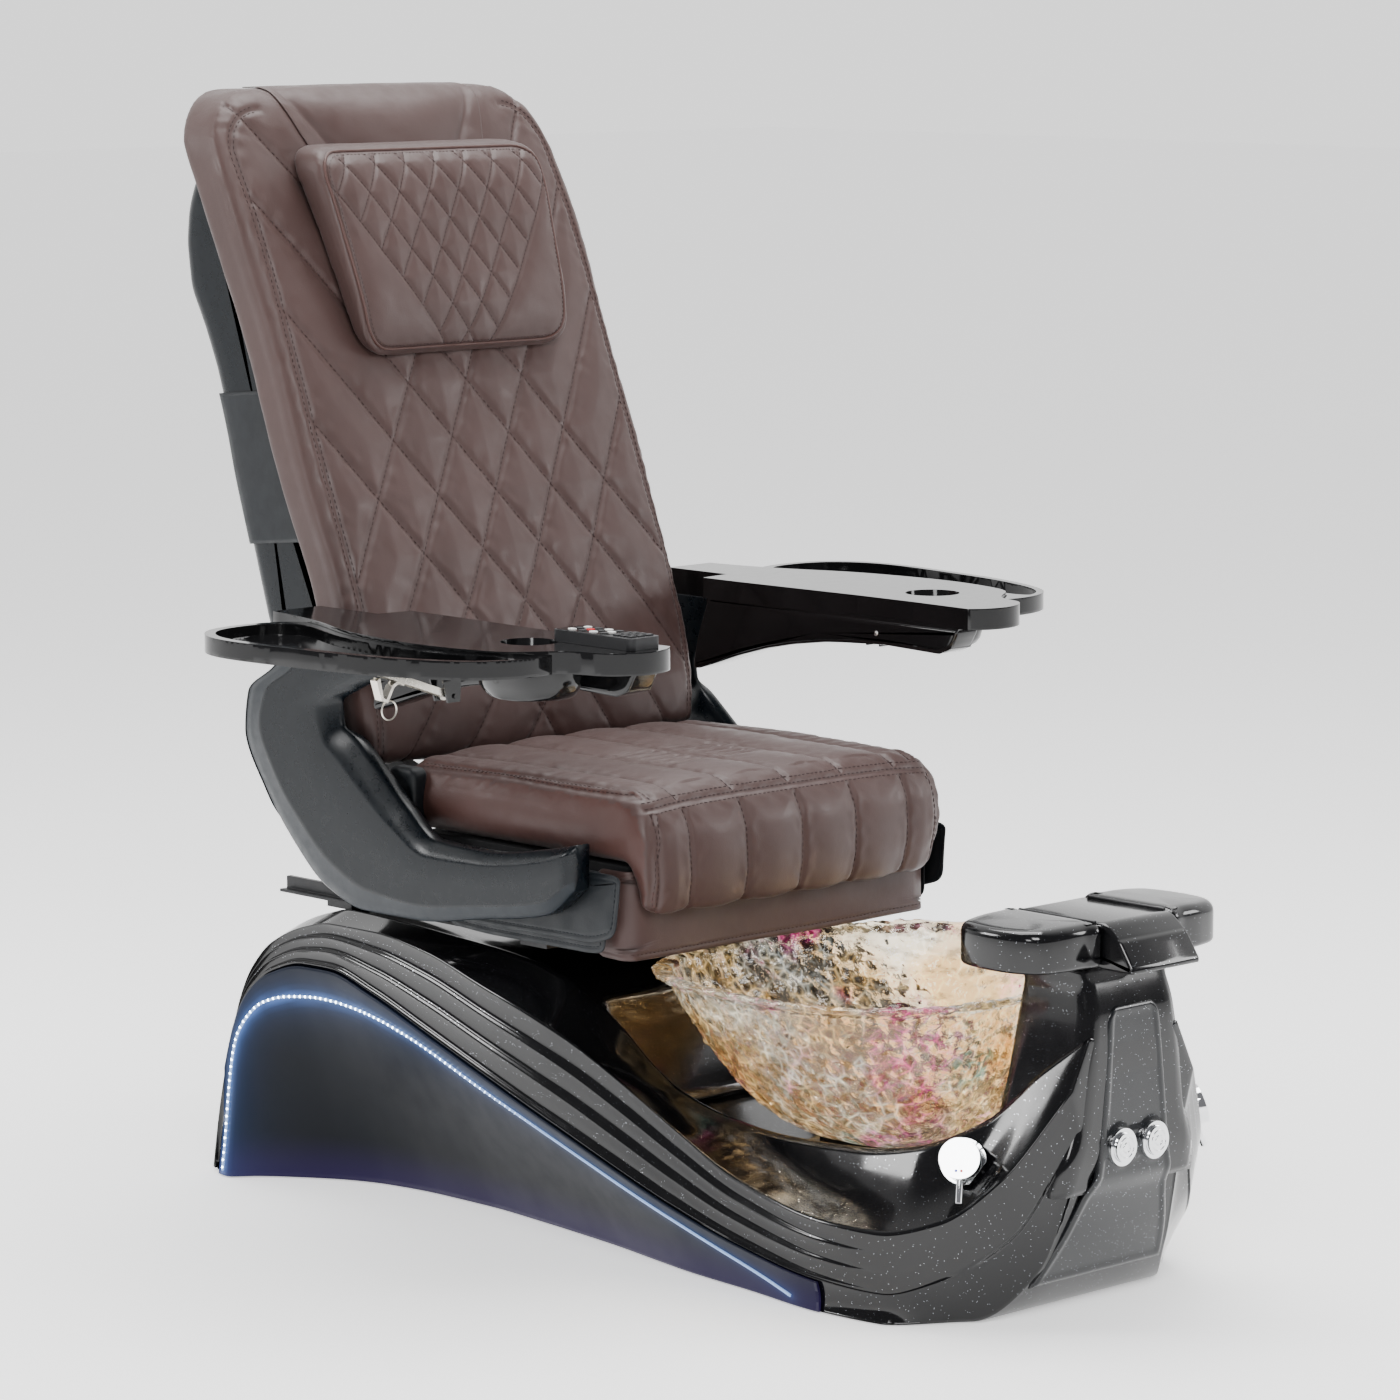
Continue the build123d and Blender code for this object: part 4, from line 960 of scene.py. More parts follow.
def stitches(name, obj, rows, length=5.2, gap=2.6, radius=0.55):
    """Thread along seams on a finished pad: rows are (facing, line, sideways shift)."""
    met = surface(obj)
    verts, faces = [], []
    for facing, line, shift in rows:
        line = np.array(line, float)
        if shift:
            direction = np.gradient(line, axis=0)
            direction /= np.maximum(np.linalg.norm(direction, axis=1), 1e-9)[:, None]
            line = line + np.stack([-direction[:, 1], direction[:, 0]], 1) * shift
        run = run_length(line)
        for k in range(int(run[-1] / (length + gap))):
            ends = []
            for s in (k * (length + gap), k * (length + gap) + length):
                a, b = (np.interp(s, run, line[:, c]) for c in (0, 1))
                ends.append(met(facing, a, b))
            if ends[0][0] is None or ends[1][0] is None:
                continue
            (p, n), (q, _) = ends
            along = q - p
            span = np.linalg.norm(along)
            if span < 1 or span > 3 * length:
                continue
            along /= span
            across = np.cross(along, n)
            across /= max(np.linalg.norm(across), 1e-9)
            add_bead_faces(faces, len(verts), STITCH_SIDES, len(STITCH_RINGS))
            for t, size, sink in STITCH_RINGS:
                middle = p + along * span * t + n * (radius * 0.45 - sink)
                for turn in np.linspace(0, 2 * math.pi, STITCH_SIDES, endpoint=False):
                    verts.append(middle + radius * size * (across * math.cos(turn) + n * math.sin(turn)))
    return new_object(name, verts, faces)


# Backrest and pillow

FACE = [
    (577, 300), (604, 301), (640, 303), (700, 314), (800, 344), (900, 386), (1000, 427), (1100, 467), (1200, 509),
    (1300, 556), (1380, 600), (1424, 622), (1446, 640),
]
BACK_DEPTH = 92.0
CELL_X, CELL_Z = 101.0, 144.0
CELL_MIDDLE = 990.0


def face_y(z):
    """Where the backrest's front face is at a height."""
    return curve(FACE, z)[:, 0]


def back_lines():
    """The quilting on the backrest: two families of crossing lines."""
    slope = CELL_X / CELL_Z
    lines = []
    for side in (1, -1):
        for k in range(-1, 4):
            line = []
            for z in np.linspace(584, 1440, 60):
                x = -151.5 + CELL_X * k - slope * (z - CELL_MIDDLE)
                if abs(x) <= 280:
                    line.append((side * x, z))
            if len(line) > 1:
                lines.append(line)
    return lines


def edge_line(side, inset):
    """The seam that follows the edge of the backrest round its top corner."""
    half, top, radius = 306 - inset, 1450 - inset, 92 - inset
    line = [(side * half, 590), (side * half, 900), (side * half, top - radius)]
    for t in np.linspace(0.1, math.pi / 2, 9):
        line.append((side * (half - radius + radius * math.cos(t)), top - radius + radius * math.sin(t)))
    return line


def make_backrest():
    arc = np.linspace(0, math.pi / 2, 14)
    right = [(208 + 92 * math.cos(t), 1354 + 92 * math.sin(t)) for t in arc]
    half = [(292, 582), (294, 640)] + right
    outline = half + [(-x, z) for x, z in reversed(half)]
    obj = slab("Backrest_cushion", resample(np.array(outline), 220), "Y", 4, 88, 20, 10, 6)
    remeshed(obj, 7.0)
    co = coords(obj)
    front = 1 - smooth(20, 60, co[:, 1])
    crown = 9 * np.clip(1 - (co[:, 0] / 300) ** 2, 0, 1) * front
    lean = face_y(co[:, 2])
    co[:, 1] += lean - crown + smooth(1380, 1446, co[:, 2]) * (1 - front) * -4
    sag = 2.0 * np.sin(co[:, 2] / 47.0) * smooth(250, 300, np.abs(co[:, 0]))
    co[:, 0] += np.sign(co[:, 0]) * (sag - 2)
    set_coords(obj, co)
    relaxed(obj, 3)
    quilt = back_lines()
    seams = [("front", quilt + [edge_line(1, 29), edge_line(-1, 29)])]
    depth = BACK_DEPTH * 0.45

    def held(points):
        return (points[:, 1] - face_y(points[:, 2]) > depth).astype(float)

    puffed(obj, seams, held, 9.0)
    subdivided(obj)
    sewn(obj, seams, 3.6, 4.2, 3.5, 30.0, 0.9)
    co = coords(obj)
    co[:, 1] = np.minimum(co[:, 1], face_y(co[:, 2]) + BACK_DEPTH - 0.5)
    slanted = 576 + np.clip(co[:, 1] - 300, 0, 92) * 0.30
    co[:, 2] = np.clip(co[:, 2], slanted, 1452)
    half = 298.8 + 7 * smooth(700, 750, co[:, 2])
    co[:, 0] = np.clip(co[:, 0], -half, half)
    set_coords(obj, co)
    finished(obj, brown, "back")
    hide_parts("backrest_cushion")
    rows = [("front", line, 0) for line in quilt]
    for side in (1, -1):
        line = resample_open(edge_line(side, 29), 60)
        rows += [("front", line, 3.6), ("front", line, -3.6)]
    finished(stitches("Backrest_stitching", obj, rows), thread, "back")


PILLOW_THICK = 40
PILLOW_FACE = [(1098, 445), (1112, 437), (1150, 440), (1250, 468), (1340, 500), (1368, 522), (1378, 545)]


def pillow_lines():
    """Small diamonds inside a V on the pillow."""
    lines = []
    for side in (1, -1):
        for j in range(0, 8):
            line = []
            for z in np.linspace(1108, 1362, 40):
                x = -40 + 52 * j - 0.70 * (z - 1110)
                if abs(x) <= 42 + 0.70 * (z - 1110) and abs(x) < 196:
                    line.append((side * x, z))
            if len(line) > 1:
                lines.append(line)
    return lines


def make_pillow():
    outline = filleted([(180, 1100), (202, 1374), (-202, 1374), (-180, 1100)], 46, 12)
    outline = resample(outline, 170)
    obj = slab("Head_pillow", outline, "Y", 0, PILLOW_THICK, 9, 4, 6)
    remeshed(obj, 4.5)
    co = coords(obj)
    inwards = np.minimum(200 - np.abs(co[:, 0]), np.minimum(co[:, 2] - 1098, 1376 - co[:, 2]))
    rim = np.clip(inwards / 60, 0, 1)
    dome = 14 * np.sqrt(np.clip(1 - (1 - rim) ** 2, 0, 1))
    back_y = face_y(co[:, 2]) - 11
    thickness = 1 - co[:, 1] / PILLOW_THICK
    bulge = curve(PILLOW_FACE, co[:, 2])[:, 0]
    target = bulge + 16 - dome
    co[:, 1] = back_y + (target - back_y) * thickness
    set_coords(obj, co)
    relaxed(obj, 2)
    piping = resample(filleted([(172, 1108), (194, 1366), (-194, 1366), (-172, 1108)], 40, 12), 120)
    ring = [tuple(p) for p in piping] + [tuple(piping[0])]
    quilt = pillow_lines()
    seams = [("front", quilt + [ring])]
    def held(points):
        return (points[:, 1] > face_y(points[:, 2]) - 30).astype(float)

    puffed(obj, seams, held, 6.0)
    subdivided(obj)
    sewn(obj, seams, 2.2, 2.8, 2.0, 14.0, 0.4)
    finished(obj, brown, "back")
    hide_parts("head_pillow")
    rows = [("front", line, 0) for line in quilt] + [("front", ring, 4.5)]
    finished(stitches("Pillow_stitching", obj, rows, 4.0, 2.0, 0.45), thread, "back")
    met = surface(obj)
    found = [met("front", x, z)[0] for x, z in piping]
    bead = [point + [0, -0.6, 0] for point in found if point is not None]
    finished(tube("Pillow_piping", bead, 2.2, 8, closed=True), brown_side, "back")


def make_pillow_flap():
    """The pillow's flap, which goes over the top of the backrest."""
    met = surface(bpy.data.objects["Backrest_cushion"])
    looks = [("front", 150 + (z - 1355) * 0.36, z) for z in np.linspace(1355, 1430, 14)]
    looks += [("top", 178, y) for y in np.linspace(630, 700, 12)]
    rows = []
    for facing, half, level in looks:
        found = [met(facing, u * half, level) for u in np.linspace(-1, 1, 60)]
        if all(point is not None for point, _ in found):
            rows.append([point + normal * 1.6 for point, normal in found])
    flap = open_grid("Pillow_flap", rows)
    thickened(flap, 1.6, 0)
    subdivided(flap)
    finished(flap, brown, "back")


# Seat

CHANNELS = (-195.0, -98.0, 0.0, 98.0, 195.0)


def seat_front_edge():
    """The seam across the top of the seat's front."""
    return [(x, 583 - 8 * (x / 262) ** 4) for x in np.linspace(-250, 250, 30)]


def seat_seams():
    """The seat's seams on its top, front and sides."""
    top, front = [], []
    for x in CHANNELS:
        spread = 0.06 * x
        top.append([(x, -158), (x, -60), (x + spread * 0.6, 80), (x + spread, 268)])
        front.append([(x, 572), (x, 520), (x * 0.985, 468), (x * 0.97, 447)])
    front.append(seat_front_edge())
    for middle in (-49.0, 49.0):
        for y in (-20, 2, 24, 46, 68):
            top.append([(middle - 30, y), (middle + 30, y)])
    for side in (1, -1):
        top.append([(side * 232, -150), (side * 246, -60), (side * 250, 100), (side * 248, 266)])
        front.append([(side * 247, 570), (side * 249, 520), (side * 243, 448)])
    sides = [
        [(-166, 590), (-182, 540), (-180, 490), (-168, 446)], [(-150, 592), (-60, 590), (100, 592), (262, 586)],
    ]
    return [("top", top), ("front", front), ("side", sides)]


def make_seat_cushion():
    profile = filleted([
        (-150, 446), (-176, 444), (-186, 486), (-184, 545), (-168, 578), (-138, 596), (60, 600), (262, 594),
        (272, 580), (272, 522), (264, 509), (-146, 509),
    ], 16, 6)
    obj = slab("Seat_cushion", resample(profile, 240), "X", -258, 258, 22, 22, 7)
    remeshed(obj, 5.5)
    co = coords(obj)
    middle = np.clip(1 - (co[:, 0] / 258) ** 2, 0, 1)
    up = smooth(560, 600, co[:, 2])
    dish = 5 * np.exp(-((co[:, 1] - 40) / 90.0) ** 2) * middle * up
    nose = smooth(-140, -186, co[:, 1])
    co[:, 2] += 6 * middle * up - dish
    co[:, 1] -= 5 * middle * nose
    belly = np.clip(1 - ((co[:, 2] - 538) / 66) ** 2, 0, 1) * smooth(200, 262, np.abs(co[:, 0]))
    co[:, 0] += np.sign(co[:, 0]) * 11 * belly
    rear = smooth(200, 268, co[:, 1]) * smooth(520, 560, co[:, 2])
    co[:, 1] += 6 * rear
    set_coords(obj, co)
    relaxed(obj, 3)
    seams = seat_seams()
    def held(points):
        return ((points[:, 2] < 512) & (points[:, 1] > -150)).astype(float)

    puffed(obj, seams, held, 11.0)
    subdivided(obj)
    sewn(obj, seams, 3.2, 3.8, 3.5, 26.0, 1.0)
    co = coords(obj)
    low = np.where(co[:, 1] > -146, 504.0, 430.0)
    co[:, 2] = np.maximum(co[:, 2], low)
    co[:, 1] = np.minimum(co[:, 1], 286.0)
    co[:, 0] = np.clip(co[:, 0], -284, 284)
    set_coords(obj, co)
    finished(obj, brown, "seat")
    obj.data.materials.append(brown_side)
    for polygon in obj.data.polygons:
        if abs(polygon.normal.x) > 0.8:
            polygon.material_index = 1
    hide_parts("seat_cushion")
    rows = []
    for facing, lines in seams:
        ways = ("left", "right") if facing == "side" else (facing,)
        rows += [(way, resample_open(line, 40), 0) for line in lines for way in ways]
    edge = resample_open(seat_front_edge(), 60)
    rows += [("front", edge, 7.0), ("front", edge, -6.0)]
    finished(stitches("Seat_stitching", obj, rows), thread, "seat")


def make_seat_gussets():
    """The dark piece that fills between the cushion's lower side and the side cover."""
    outline = resample(filleted([(230, 506), (284, 506), (289, 556), (280, 588), (230, 588)], 12, 6), 90)
    for side, name in SIDES:
        low, high = sorted((side * 263, side * 290))
        piece = slab("Seat_gusset_" + name, outline, "X", low, high, 7, 7, 5)
        finished(piece, navy_leather, "seat")


# Aprons

SHEET_HALF = 1.1                # half of a sheet's thickness
HEM = ((9, 1.0), (7.4, 0.45), (6, 1.0), (1, 1.0))       # inset from the edge, and share of the thickness


def make_sheet(name, corners, plane, wave):
    """A hanging sheet of leather with a pressed hem, its outline and the line of its stitching."""
    loop = resample(filleted(corners, 16, 8), 260)
    out = normals_2d(loop)
    middle = loop.mean(axis=0)
    rings = [(middle + (loop - out * 10 - middle) * t, 1.0) for t in np.linspace(0.0, 0.94, 14)]
    rings += [(loop - out * inset, share) for inset, share in HEM] + [(loop, 0.0)]
    front = [plane(r[:, 0], r[:, 1], wave(r[:, 0], r[:, 1]) + SHEET_HALF * share) for r, share in rings]
    back = [plane(r[:, 0], r[:, 1], wave(r[:, 0], r[:, 1]) - SHEET_HALF * share) for r, share in rings[::-1]]
    return loft(name, front[1:] + back[1:-1]), loop, loop - out * 8


def make_front_apron():
    flat_half, turn = 252, 14.0

    def plane(a, b, lift):
        along = np.abs(a)
        bend = np.clip((along - flat_half) / turn, 0, math.pi / 2)
        past = np.maximum(along - flat_half - turn * math.pi / 2, 0)
        x = np.minimum(along, flat_half) + (turn + lift) * np.sin(bend)
        y = -146 - lift + (turn + lift) * (1 - np.cos(bend)) + past
        return np.stack([np.sign(a) * x, y, b], 1)

    def wave(a, b):
        drop = smooth(500, 384, b)
        return drop * (2.5 + 2.0 * np.sin(a / 46.0)) * smooth(300, 255, np.abs(a)) + 0.6

    corners = [(316, 498), (316, 386), (160, 385), (0, 385), (-160, 385), (-316, 386), (-316, 498)]
    obj, _, hem = make_sheet("Front_apron", corners, plane, wave)
    finished(obj, brown, "seat")
    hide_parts("front_apron")
    ring = [tuple(p) for p in hem if p[1] < 494]
    sewing = stitches("Front_apron_stitching", obj, [("front", ring, 0)], 4.6, 2.4, 0.5)
    finished(sewing, thread, "seat")


OUTER_FLAP = [(-150, 498), (-161, 494), (-154, 421), (-113, 408), (91, 405), (180, 405), (238, 440), (238, 498)]
UNDER_FLAP = [(-128, 498), (-128, 397), (-100, 393), (91, 392), (160, 395), (200, 421), (200, 498)]


def make_side_aprons():
    """An outer and an under flap on each side."""
    for side, name in SIDES:
        for label, corners, x, flare in (("", OUTER_FLAP, 292.5, 4.0), ("_under", UNDER_FLAP, 286.5, 1.5)):
            def plane(a, b, lift, x=x, side=side):
                return np.stack([side * (x + lift), a, b], 1)

            def wave(a, b, flare=flare):
                return smooth(480, 400, b) * (flare * 0.4 + flare * 0.25 * np.sin(a / 38.0))

            flap, loop, hem = make_sheet("Side_apron" + label + "_" + name, corners, plane, wave)
            finished(flap, navy_leather, "seat")
            width, height = np.ptp(loop, axis=0) * MM
            area = abs(doubled_area(loop)) / 2 * MM * MM
            ring = [tuple(p) for p in hem if p[1] < 490]
            sewing = stitches("Side_apron_stitching" + label + "_" + name, flap, [(name, ring, 0)], 4.6, 2.4, 0.5)
            finished(sewing, navy_thread, "seat")
            if label == "":
                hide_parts("side_apron_" + name)


# Side covers

COVER = [                       # (share of the length, outer y and z, inner y and z)
    (0.0, -112, 478, -113, 535), (0.08, -60, 440, -55, 522), (0.2, 60, 419, 57, 506),
    (0.32, 188, 401, 150, 508), (0.42, 290, 400, 210, 545), (0.5, 366, 422, 262, 588),
    (0.58, 430, 472, 305, 622), (0.67, 486, 537, 333, 640), (0.76, 527, 613, 336, 668),
    (0.83, 520, 664, 300, 688), (0.9, 470, 700, 248, 712), (0.96, 418, 740, 224, 736), (1.0, 392, 753, 222, 752),
]
COVER_X = 334.0                 # the cover's outer face
COVER_OUTSIDE = (               # (share of the width, how far inside the outer face)
    (0.004, 12), (0.02, 9.5), (0.10, 5), (0.20, 1.0), (0.215, 0), (0.24, -0.2), (0.5, 0.6), (0.80, 0),
    (0.84, 0.6), (0.90, 5), (0.97, 11), (0.99, 13.5), (1.0, 16),
)
COVER_INSIDE = (                # (share of the width, how far outside the inner face)
    (1.0, 4), (0.985, 1), (0.93, 0), (0.5, 0), (0.07, 0), (0.015, 1),
)


def make_side_covers():
    """The C-shaped cover on each side, with a lighter trim along its outer edge."""
    rings = []
    for s in np.linspace(0, 1, 130):
        oy, oz, iy, iz = curve(COVER, s)[0]
        inner_x = 300 + 12 * float(smooth(560, 600, (oz + iz) / 2 + 20))
        blunt = math.sqrt(max(0.0, 1 - (1 - min(s / 0.03, 1)) ** 2))
        taper = 10 * (1 - blunt)
        section = [(0.0, inner_x + 5), (0.0, inner_x + 12)]
        section += [(v, COVER_X - inset) for v, inset in COVER_OUTSIDE]
        section += [(v, inner_x + rise) for v, rise in COVER_INSIDE]
        ring = []
        for v, x in section:
            y, z = oy + (iy - oy) * v, oz + (iz - oz) * v
            x = min(x, COVER_X - taper) if x > 320 else x
            ring.append((max(x, inner_x), y, z))
        rings.append(np.array(ring))
    count = len(rings[0])
    obj = loft("Side_cover_left", rings)
    paint(obj, navy)
    obj.data.materials.append(navy_trim)
    for polygon in obj.data.polygons:
        columns = [v % count for v in polygon.vertices]
        if len(columns) == 4 and max(columns) <= 5 and min(columns) >= 2:
            polygon.material_index = 1
    finished(obj, None, "seat")
    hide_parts("side_cover_left")
    other = finished(mirror_copy(obj, "Side_cover_right"), None, "seat")
    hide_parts("side_cover_right")


# Back shell

SHELL_REAR = [
    (706, 1364), (740, 1330), (756, 1290), (762, 1243), (753, 1177), (724, 1125), (700, 1072), (676, 1000), (660, 940),
    (628, 838), (598, 743), (562, 655),
]


def make_back_shell():
    front = [(float(face_y(z)[0]) + (BACK_DEPTH + 0.6), z) for z in np.linspace(655, 1362, 24)]
    loop = resample(filleted(np.array(front + SHELL_REAR), 14, 4), 220)
    obj = slab("Back_shell", loop, "X", -236, 236, 26, 26, 8)
    co = coords(obj)
    co[:, 1] = np.maximum(co[:, 1], face_y(co[:, 2]) + (BACK_DEPTH + 0.4))
    set_coords(obj, co)
    finished(obj, navy, "back")
    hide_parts("back_shell")


def make_back_wrap():
    """The band of fabric round the back shell."""
    rear = [(z, y) for y, z in SHELL_REAR]
    half = 238.5
    rings = []
    for z in np.linspace(846, 1050, 36):
        y_front = float(face_y(z)[0]) + (BACK_DEPTH + 1.5)
        y_rear = float(curve(rear, z)[0][0]) + 2.6
        wave = math.sin(z / 17.0)
        loop = filleted([(half, y_front), (half + wave * 0.3, y_rear), (-half, y_rear), (-half, y_front)], 27, 9)
        rings.append(place(resample(loop, 120), z, "Z"))
    wrap = loft("Back_wrap", rings)
    co = coords(wrap)
    co[:, 2] += (co[:, 1] - 600) * -0.10
    set_coords(wrap, co)
    finished(wrap, navy_leather, "back")


# CAD pieces that keep their meshes

def bevelled(node, width, material, segments=3, angle=32):
    """Soften a CAD node's edges with modifiers and give it its material."""
    obj = NODES[node]
    weld = obj.modifiers.new("Weld", "WELD")
    weld.merge_threshold = 0.02 * MM
    bevel = obj.modifiers.new("Bevel", "BEVEL")
    bevel.width = width * MM
    bevel.segments = segments
    bevel.limit_method = "ANGLE"
    bevel.angle_limit = math.radians(angle)
    bevel.use_clamp_overlap = True
    bevel.harden_normals = True
    return paint(obj, material)


def make_small_parts():
    for _, side in SIDES:
        bevelled("arm_" + side, 2.2, gloss)
        bevelled("tray_" + side, 1.2, gloss)
        bevelled("tray_brace_" + side, 0.4, zinc)
        bevelled("tap_collar_" + side, 0.6, chrome)
        bevelled("tap_lever_" + side, 1.0, chrome)
        bevelled("air_button_" + side, 1.6, chrome)
    for node, width, material in (
        ("tap_bodies", 1.2, chrome), ("button_housings", 1.0, chrome), ("remote_control", 1.2, black),
        ("jet_housing", 1.5, chrome), ("drain_fitting", 1.0, chrome), ("drain_stopper", 1.0, chrome),
        ("jet_impeller", 0.6, grey), ("jet_motor", 2.0, black), ("control_box", 3.0, black),
        ("slide_motor", 2.0, black), ("slide_rod", 0.8, steel), ("slide_rails", 1.0, dark_steel),
        ("slide_carriages", 1.0, dark_steel), ("seat_beams", 2.0, dark_steel), ("seat_crossbars", 2.0, dark_steel),
        # The seat pan takes the near-black painted shade.
        ("seat_pan", 1.5, board_as_shade), ("recline_pins", 0.6, steel), ("arm_pins", 0.6, steel),
        ("back_frame", 1.5, dark_steel), ("massage_rails", 0.8, steel), ("massage_carriage", 2.0, grey),
        ("massage_rollers", 3.0, grey), ("footrest_pins", 0.3, dark_steel), ("bowl_gasket", 0.8, rubber),
        ("bowl_light", 0.8, bowl_lamp), ("drain_pipe", 1.0, grey), ("supply_pipes", 0.8, steel),
        ("base_pan", 1.0, black),
    ):
        bevelled(node, width, material)


# Details that have no CAD node

def make_tap_marks():
    """A red and a blue mark on each tap's lever."""
    axis = np.array([0.77, -0.56, 0.31])
    axis /= np.linalg.norm(axis)
    down = np.array([0, 0, -1.0]) + axis * axis[2]
    down /= np.linalg.norm(down)
    across = np.cross(axis, down)
    face = np.array([207.0, -658.0, 210.0]) + axis * 17.0
    for side, name in SIDES:
        flip = np.array([side, 1, 1])
        for label, shift, material in (("hot", -3.2, red_dot), ("cold", 3.2, blue_dot)):
            spot = face + down * 15 + across * shift
            path = [(spot + axis * reach) * flip for reach in (-0.5, 0.2, 0.45)]
            dot = tube("Tap_mark_" + label + "_" + name, path, 1.7, 14)
            finished(dot, material, "tap_lever_" + name)


def make_button_rings():
    """Two raised rings on each air button."""
    turn = np.linspace(0, 2 * math.pi, 40, endpoint=False)
    for side, name in SIDES:
        for radius, label in ((12.5, "rim"), (6.0, "middle")):
            x, z = side * BUTTON_X + radius * np.cos(turn), BUTTON_Z + radius * np.sin(turn)
            ring = np.stack([x, np.full(len(turn), -763.0), z], 1)
            bead = tube("Button_" + label + "_" + name, ring, 0.9, 8, closed=True)
            finished(bead, chrome, "air_button_" + name)


def make_remote_face():
    """The glossy face of the remote control and its plain keys."""
    face = resample(filleted(rectangle(-334, -286, -176, -88), 6, 6), 60)
    finished(slab("Remote_face", face, "Z", 802.6, 803.8, 0.4, 0.4, 3), gloss, "arm_right")
    keys = []
    for row in range(4):
        for column in range(3):
            x, y = -323 + column * 13, -165 + row * 19
            outline = resample(filleted(rectangle(x - 4.4, x + 4.4, y - 5, y + 5), 3, 5), 28)
            key = slab(f"key_{row}_{column}", outline, "Z", 803.4, 804.9, 0.4, 0.5, 3)
            plain = white if (row + column) % 2 else black
            keys.append(paint(key, red_dot if (row, column) == (2, 1) else plain))
    finished(joined("Remote_keys", keys), None, "arm_right")


RIB = [
    (262, 759), (281, 708), (290, 668), (287, 660), (250, 671), (205, 686), (150, 701), (100, 711), (40, 719.5),
    (-20, 724.5), (-71, 726), (-168, 723), (-190, 731), (-206, 759),
]


def make_arm_ribs():
    """The sleeve under each arm, and the screw head on its inner side."""
    for side, name in SIDES:
        path = [(side * x, -58, 741) for x in (268, 265.4, 265)]
        finished(tube("Arm_screw_" + name, path, 3.4, 20), steel, "arm_" + name)
    sleeve = slab("Arm_rib_left", resample(filleted(RIB, 7, 6), 170), "X", 266.6, 307.2, 5, 5, 5)
    finished(sleeve, gloss, "arm_left")
    finished(mirror_copy(sleeve, "Arm_rib_right"), None, "arm_right")


CUP_WELL = 40.6
CUP_RINGS = ((759.4, 1.0), (752, 1.0), (742, 0.985), (733, 0.95), (726, 0.88), (721.5, 0.78), (719.6, 0.62))


def make_cup_fairings():
    """The rounded casing round each arm's cup well."""
    turn = np.linspace(0, 2 * math.pi, 72, endpoint=False)
    c, s = np.cos(turn), np.sin(turn)
    wide = np.stack([np.sign(c) * np.abs(c) ** 0.8 * 46, np.sign(s) * np.abs(s) ** 0.8 * 76], 1)
    tight = np.stack([c, s], 1) * CUP_WELL
    for side, name in SIDES:
        middle = np.array([side * 360, -70])
        rings = []
        for z, share in CUP_RINGS:
            reach = np.maximum(np.abs(wide) * share, np.abs(tight)) * np.sign(wide)
            rings.append(place(middle + reach, z, "Z"))
        rings += [place(middle + tight, z, "Z") for z in (719.4, 759.4)]
        pod = loft("Cup_fairing_" + name, rings + [rings[0]], close_ends=False)
        finished(pod, gloss, "arm_" + name)


# Studio, in metres

LAMPS = (                       # name, place, size, watts
    ("Key", (-2.6, -3.6, 3.8), 1.8, 170), ("Fill", (3.8, -3.4, 2.2), 1.6, 90), ("Top", (0.4, 0.6, 4.4), 3.0, 230),
    ("Rim", (-3.2, 2.6, 2.6), 1.2, 80), ("Side", (-3.9, -2.44, 2.0), 0.9, 30),
)


def make_floor():
    mesh = bpy.data.meshes.new("Floor")
    mesh.from_pydata([(-30, -30, 0), (30, -30, 0), (30, 30, 0), (-30, 30, 0)], [], [(0, 1, 2, 3)])
    floor = bpy.data.objects.new("Floor", mesh)
    scene.collection.objects.link(floor)
    m = Nodes("Floor_white")
    pale = m.mix(m.noise(0.3), (0.90, 0.90, 0.90), (0.93, 0.93, 0.93))
    paint(floor, m.set(Base_Color=pale, Roughness=0.85, Emission_Color=(1, 1, 1, 1), Emission_Strength=0.7))


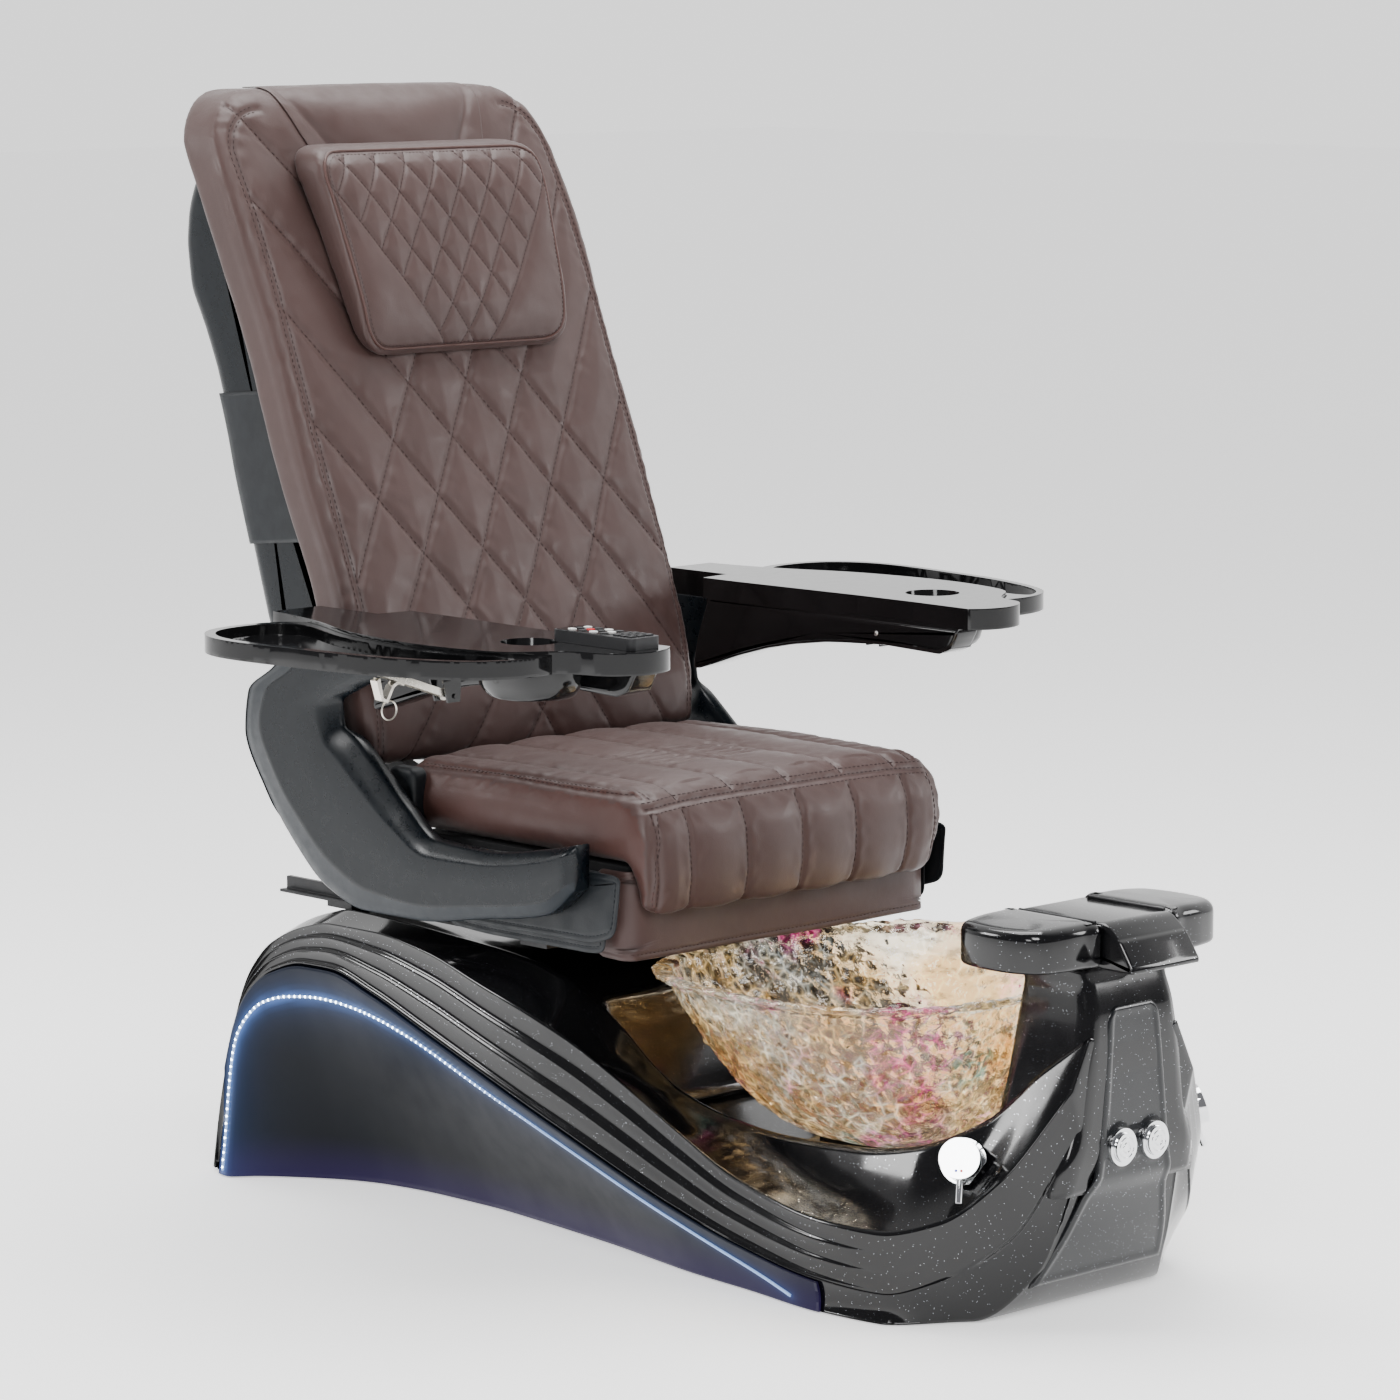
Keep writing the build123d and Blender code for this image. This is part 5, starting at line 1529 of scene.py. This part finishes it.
def make_world():
    """Soft light from all round, bright towards the rear on the sitter's left and grey elsewhere."""
    world = bpy.data.worlds.new("Studio")
    scene.world = world
    world.use_nodes = True
    tree = world.node_tree
    way = tree.nodes.new("ShaderNodeTexCoord")
    far = tree.nodes.new("ShaderNodeVectorMath")
    far.operation = "DOT_PRODUCT"
    far.inputs[1].default_value = (0.68, 0.70, 0.20)
    tree.links.new(way.outputs["Generated"], far.inputs[0])
    ramp = tree.nodes.new("ShaderNodeValToRGB")
    stops = ((0.0, (0.22, 0.22, 0.23, 1)), (0.55, (1.5, 1.5, 1.5, 1)))
    for element, (position, color) in zip(ramp.color_ramp.elements, stops):
        element.position = position
        element.color = color
    tree.links.new(far.outputs["Value"], ramp.inputs["Fac"])
    tree.links.new(ramp.outputs["Color"], tree.nodes["Background"].inputs["Color"])
    tree.nodes["Background"].inputs["Strength"].default_value = 1.0


def make_lamps():
    target = Vector((0, 0, 0.7))
    for name, spot, size, power in LAMPS:
        lamp = bpy.data.lights.new(name, "AREA")
        lamp.energy = power
        lamp.size = size
        obj = bpy.data.objects.new(name, lamp)
        obj.location = spot
        obj.rotation_euler = (target - obj.location).to_track_quat("-Z", "Y").to_euler()
        scene.collection.objects.link(obj)


def make_camera():
    """The photograph's viewing angle, as solved from its outlines."""
    data = bpy.data.cameras.new("Camera")
    data.sensor_width = 36
    data.lens = 136.93
    data.clip_end = 100
    camera = bpy.data.objects.new("Camera", data)
    aim = Vector((0, 0, 0.673))
    turn, rise, distance = math.radians(-44.1), math.radians(8.04), 6.858
    back = Vector((math.sin(turn) * math.cos(rise), -math.cos(turn) * math.cos(rise), math.sin(rise)))
    camera.location = aim + back * distance
    camera.rotation_euler = (-back).to_track_quat("-Z", "Y").to_euler()
    scene.collection.objects.link(camera)
    scene.camera = camera


for make in (
    make_hull, make_side_panels, make_strips, make_pedestal, make_access_panel, make_footrest, make_bowl,
    make_backrest, make_pillow, make_pillow_flap, make_seat_cushion, make_seat_gussets, make_front_apron,
    make_side_aprons, make_side_covers, make_back_shell, make_back_wrap, make_small_parts, make_tap_marks,
    make_button_rings, make_remote_face, make_arm_ribs, make_cup_fairings, make_floor, make_world, make_lamps,
    make_camera,
):
    make()
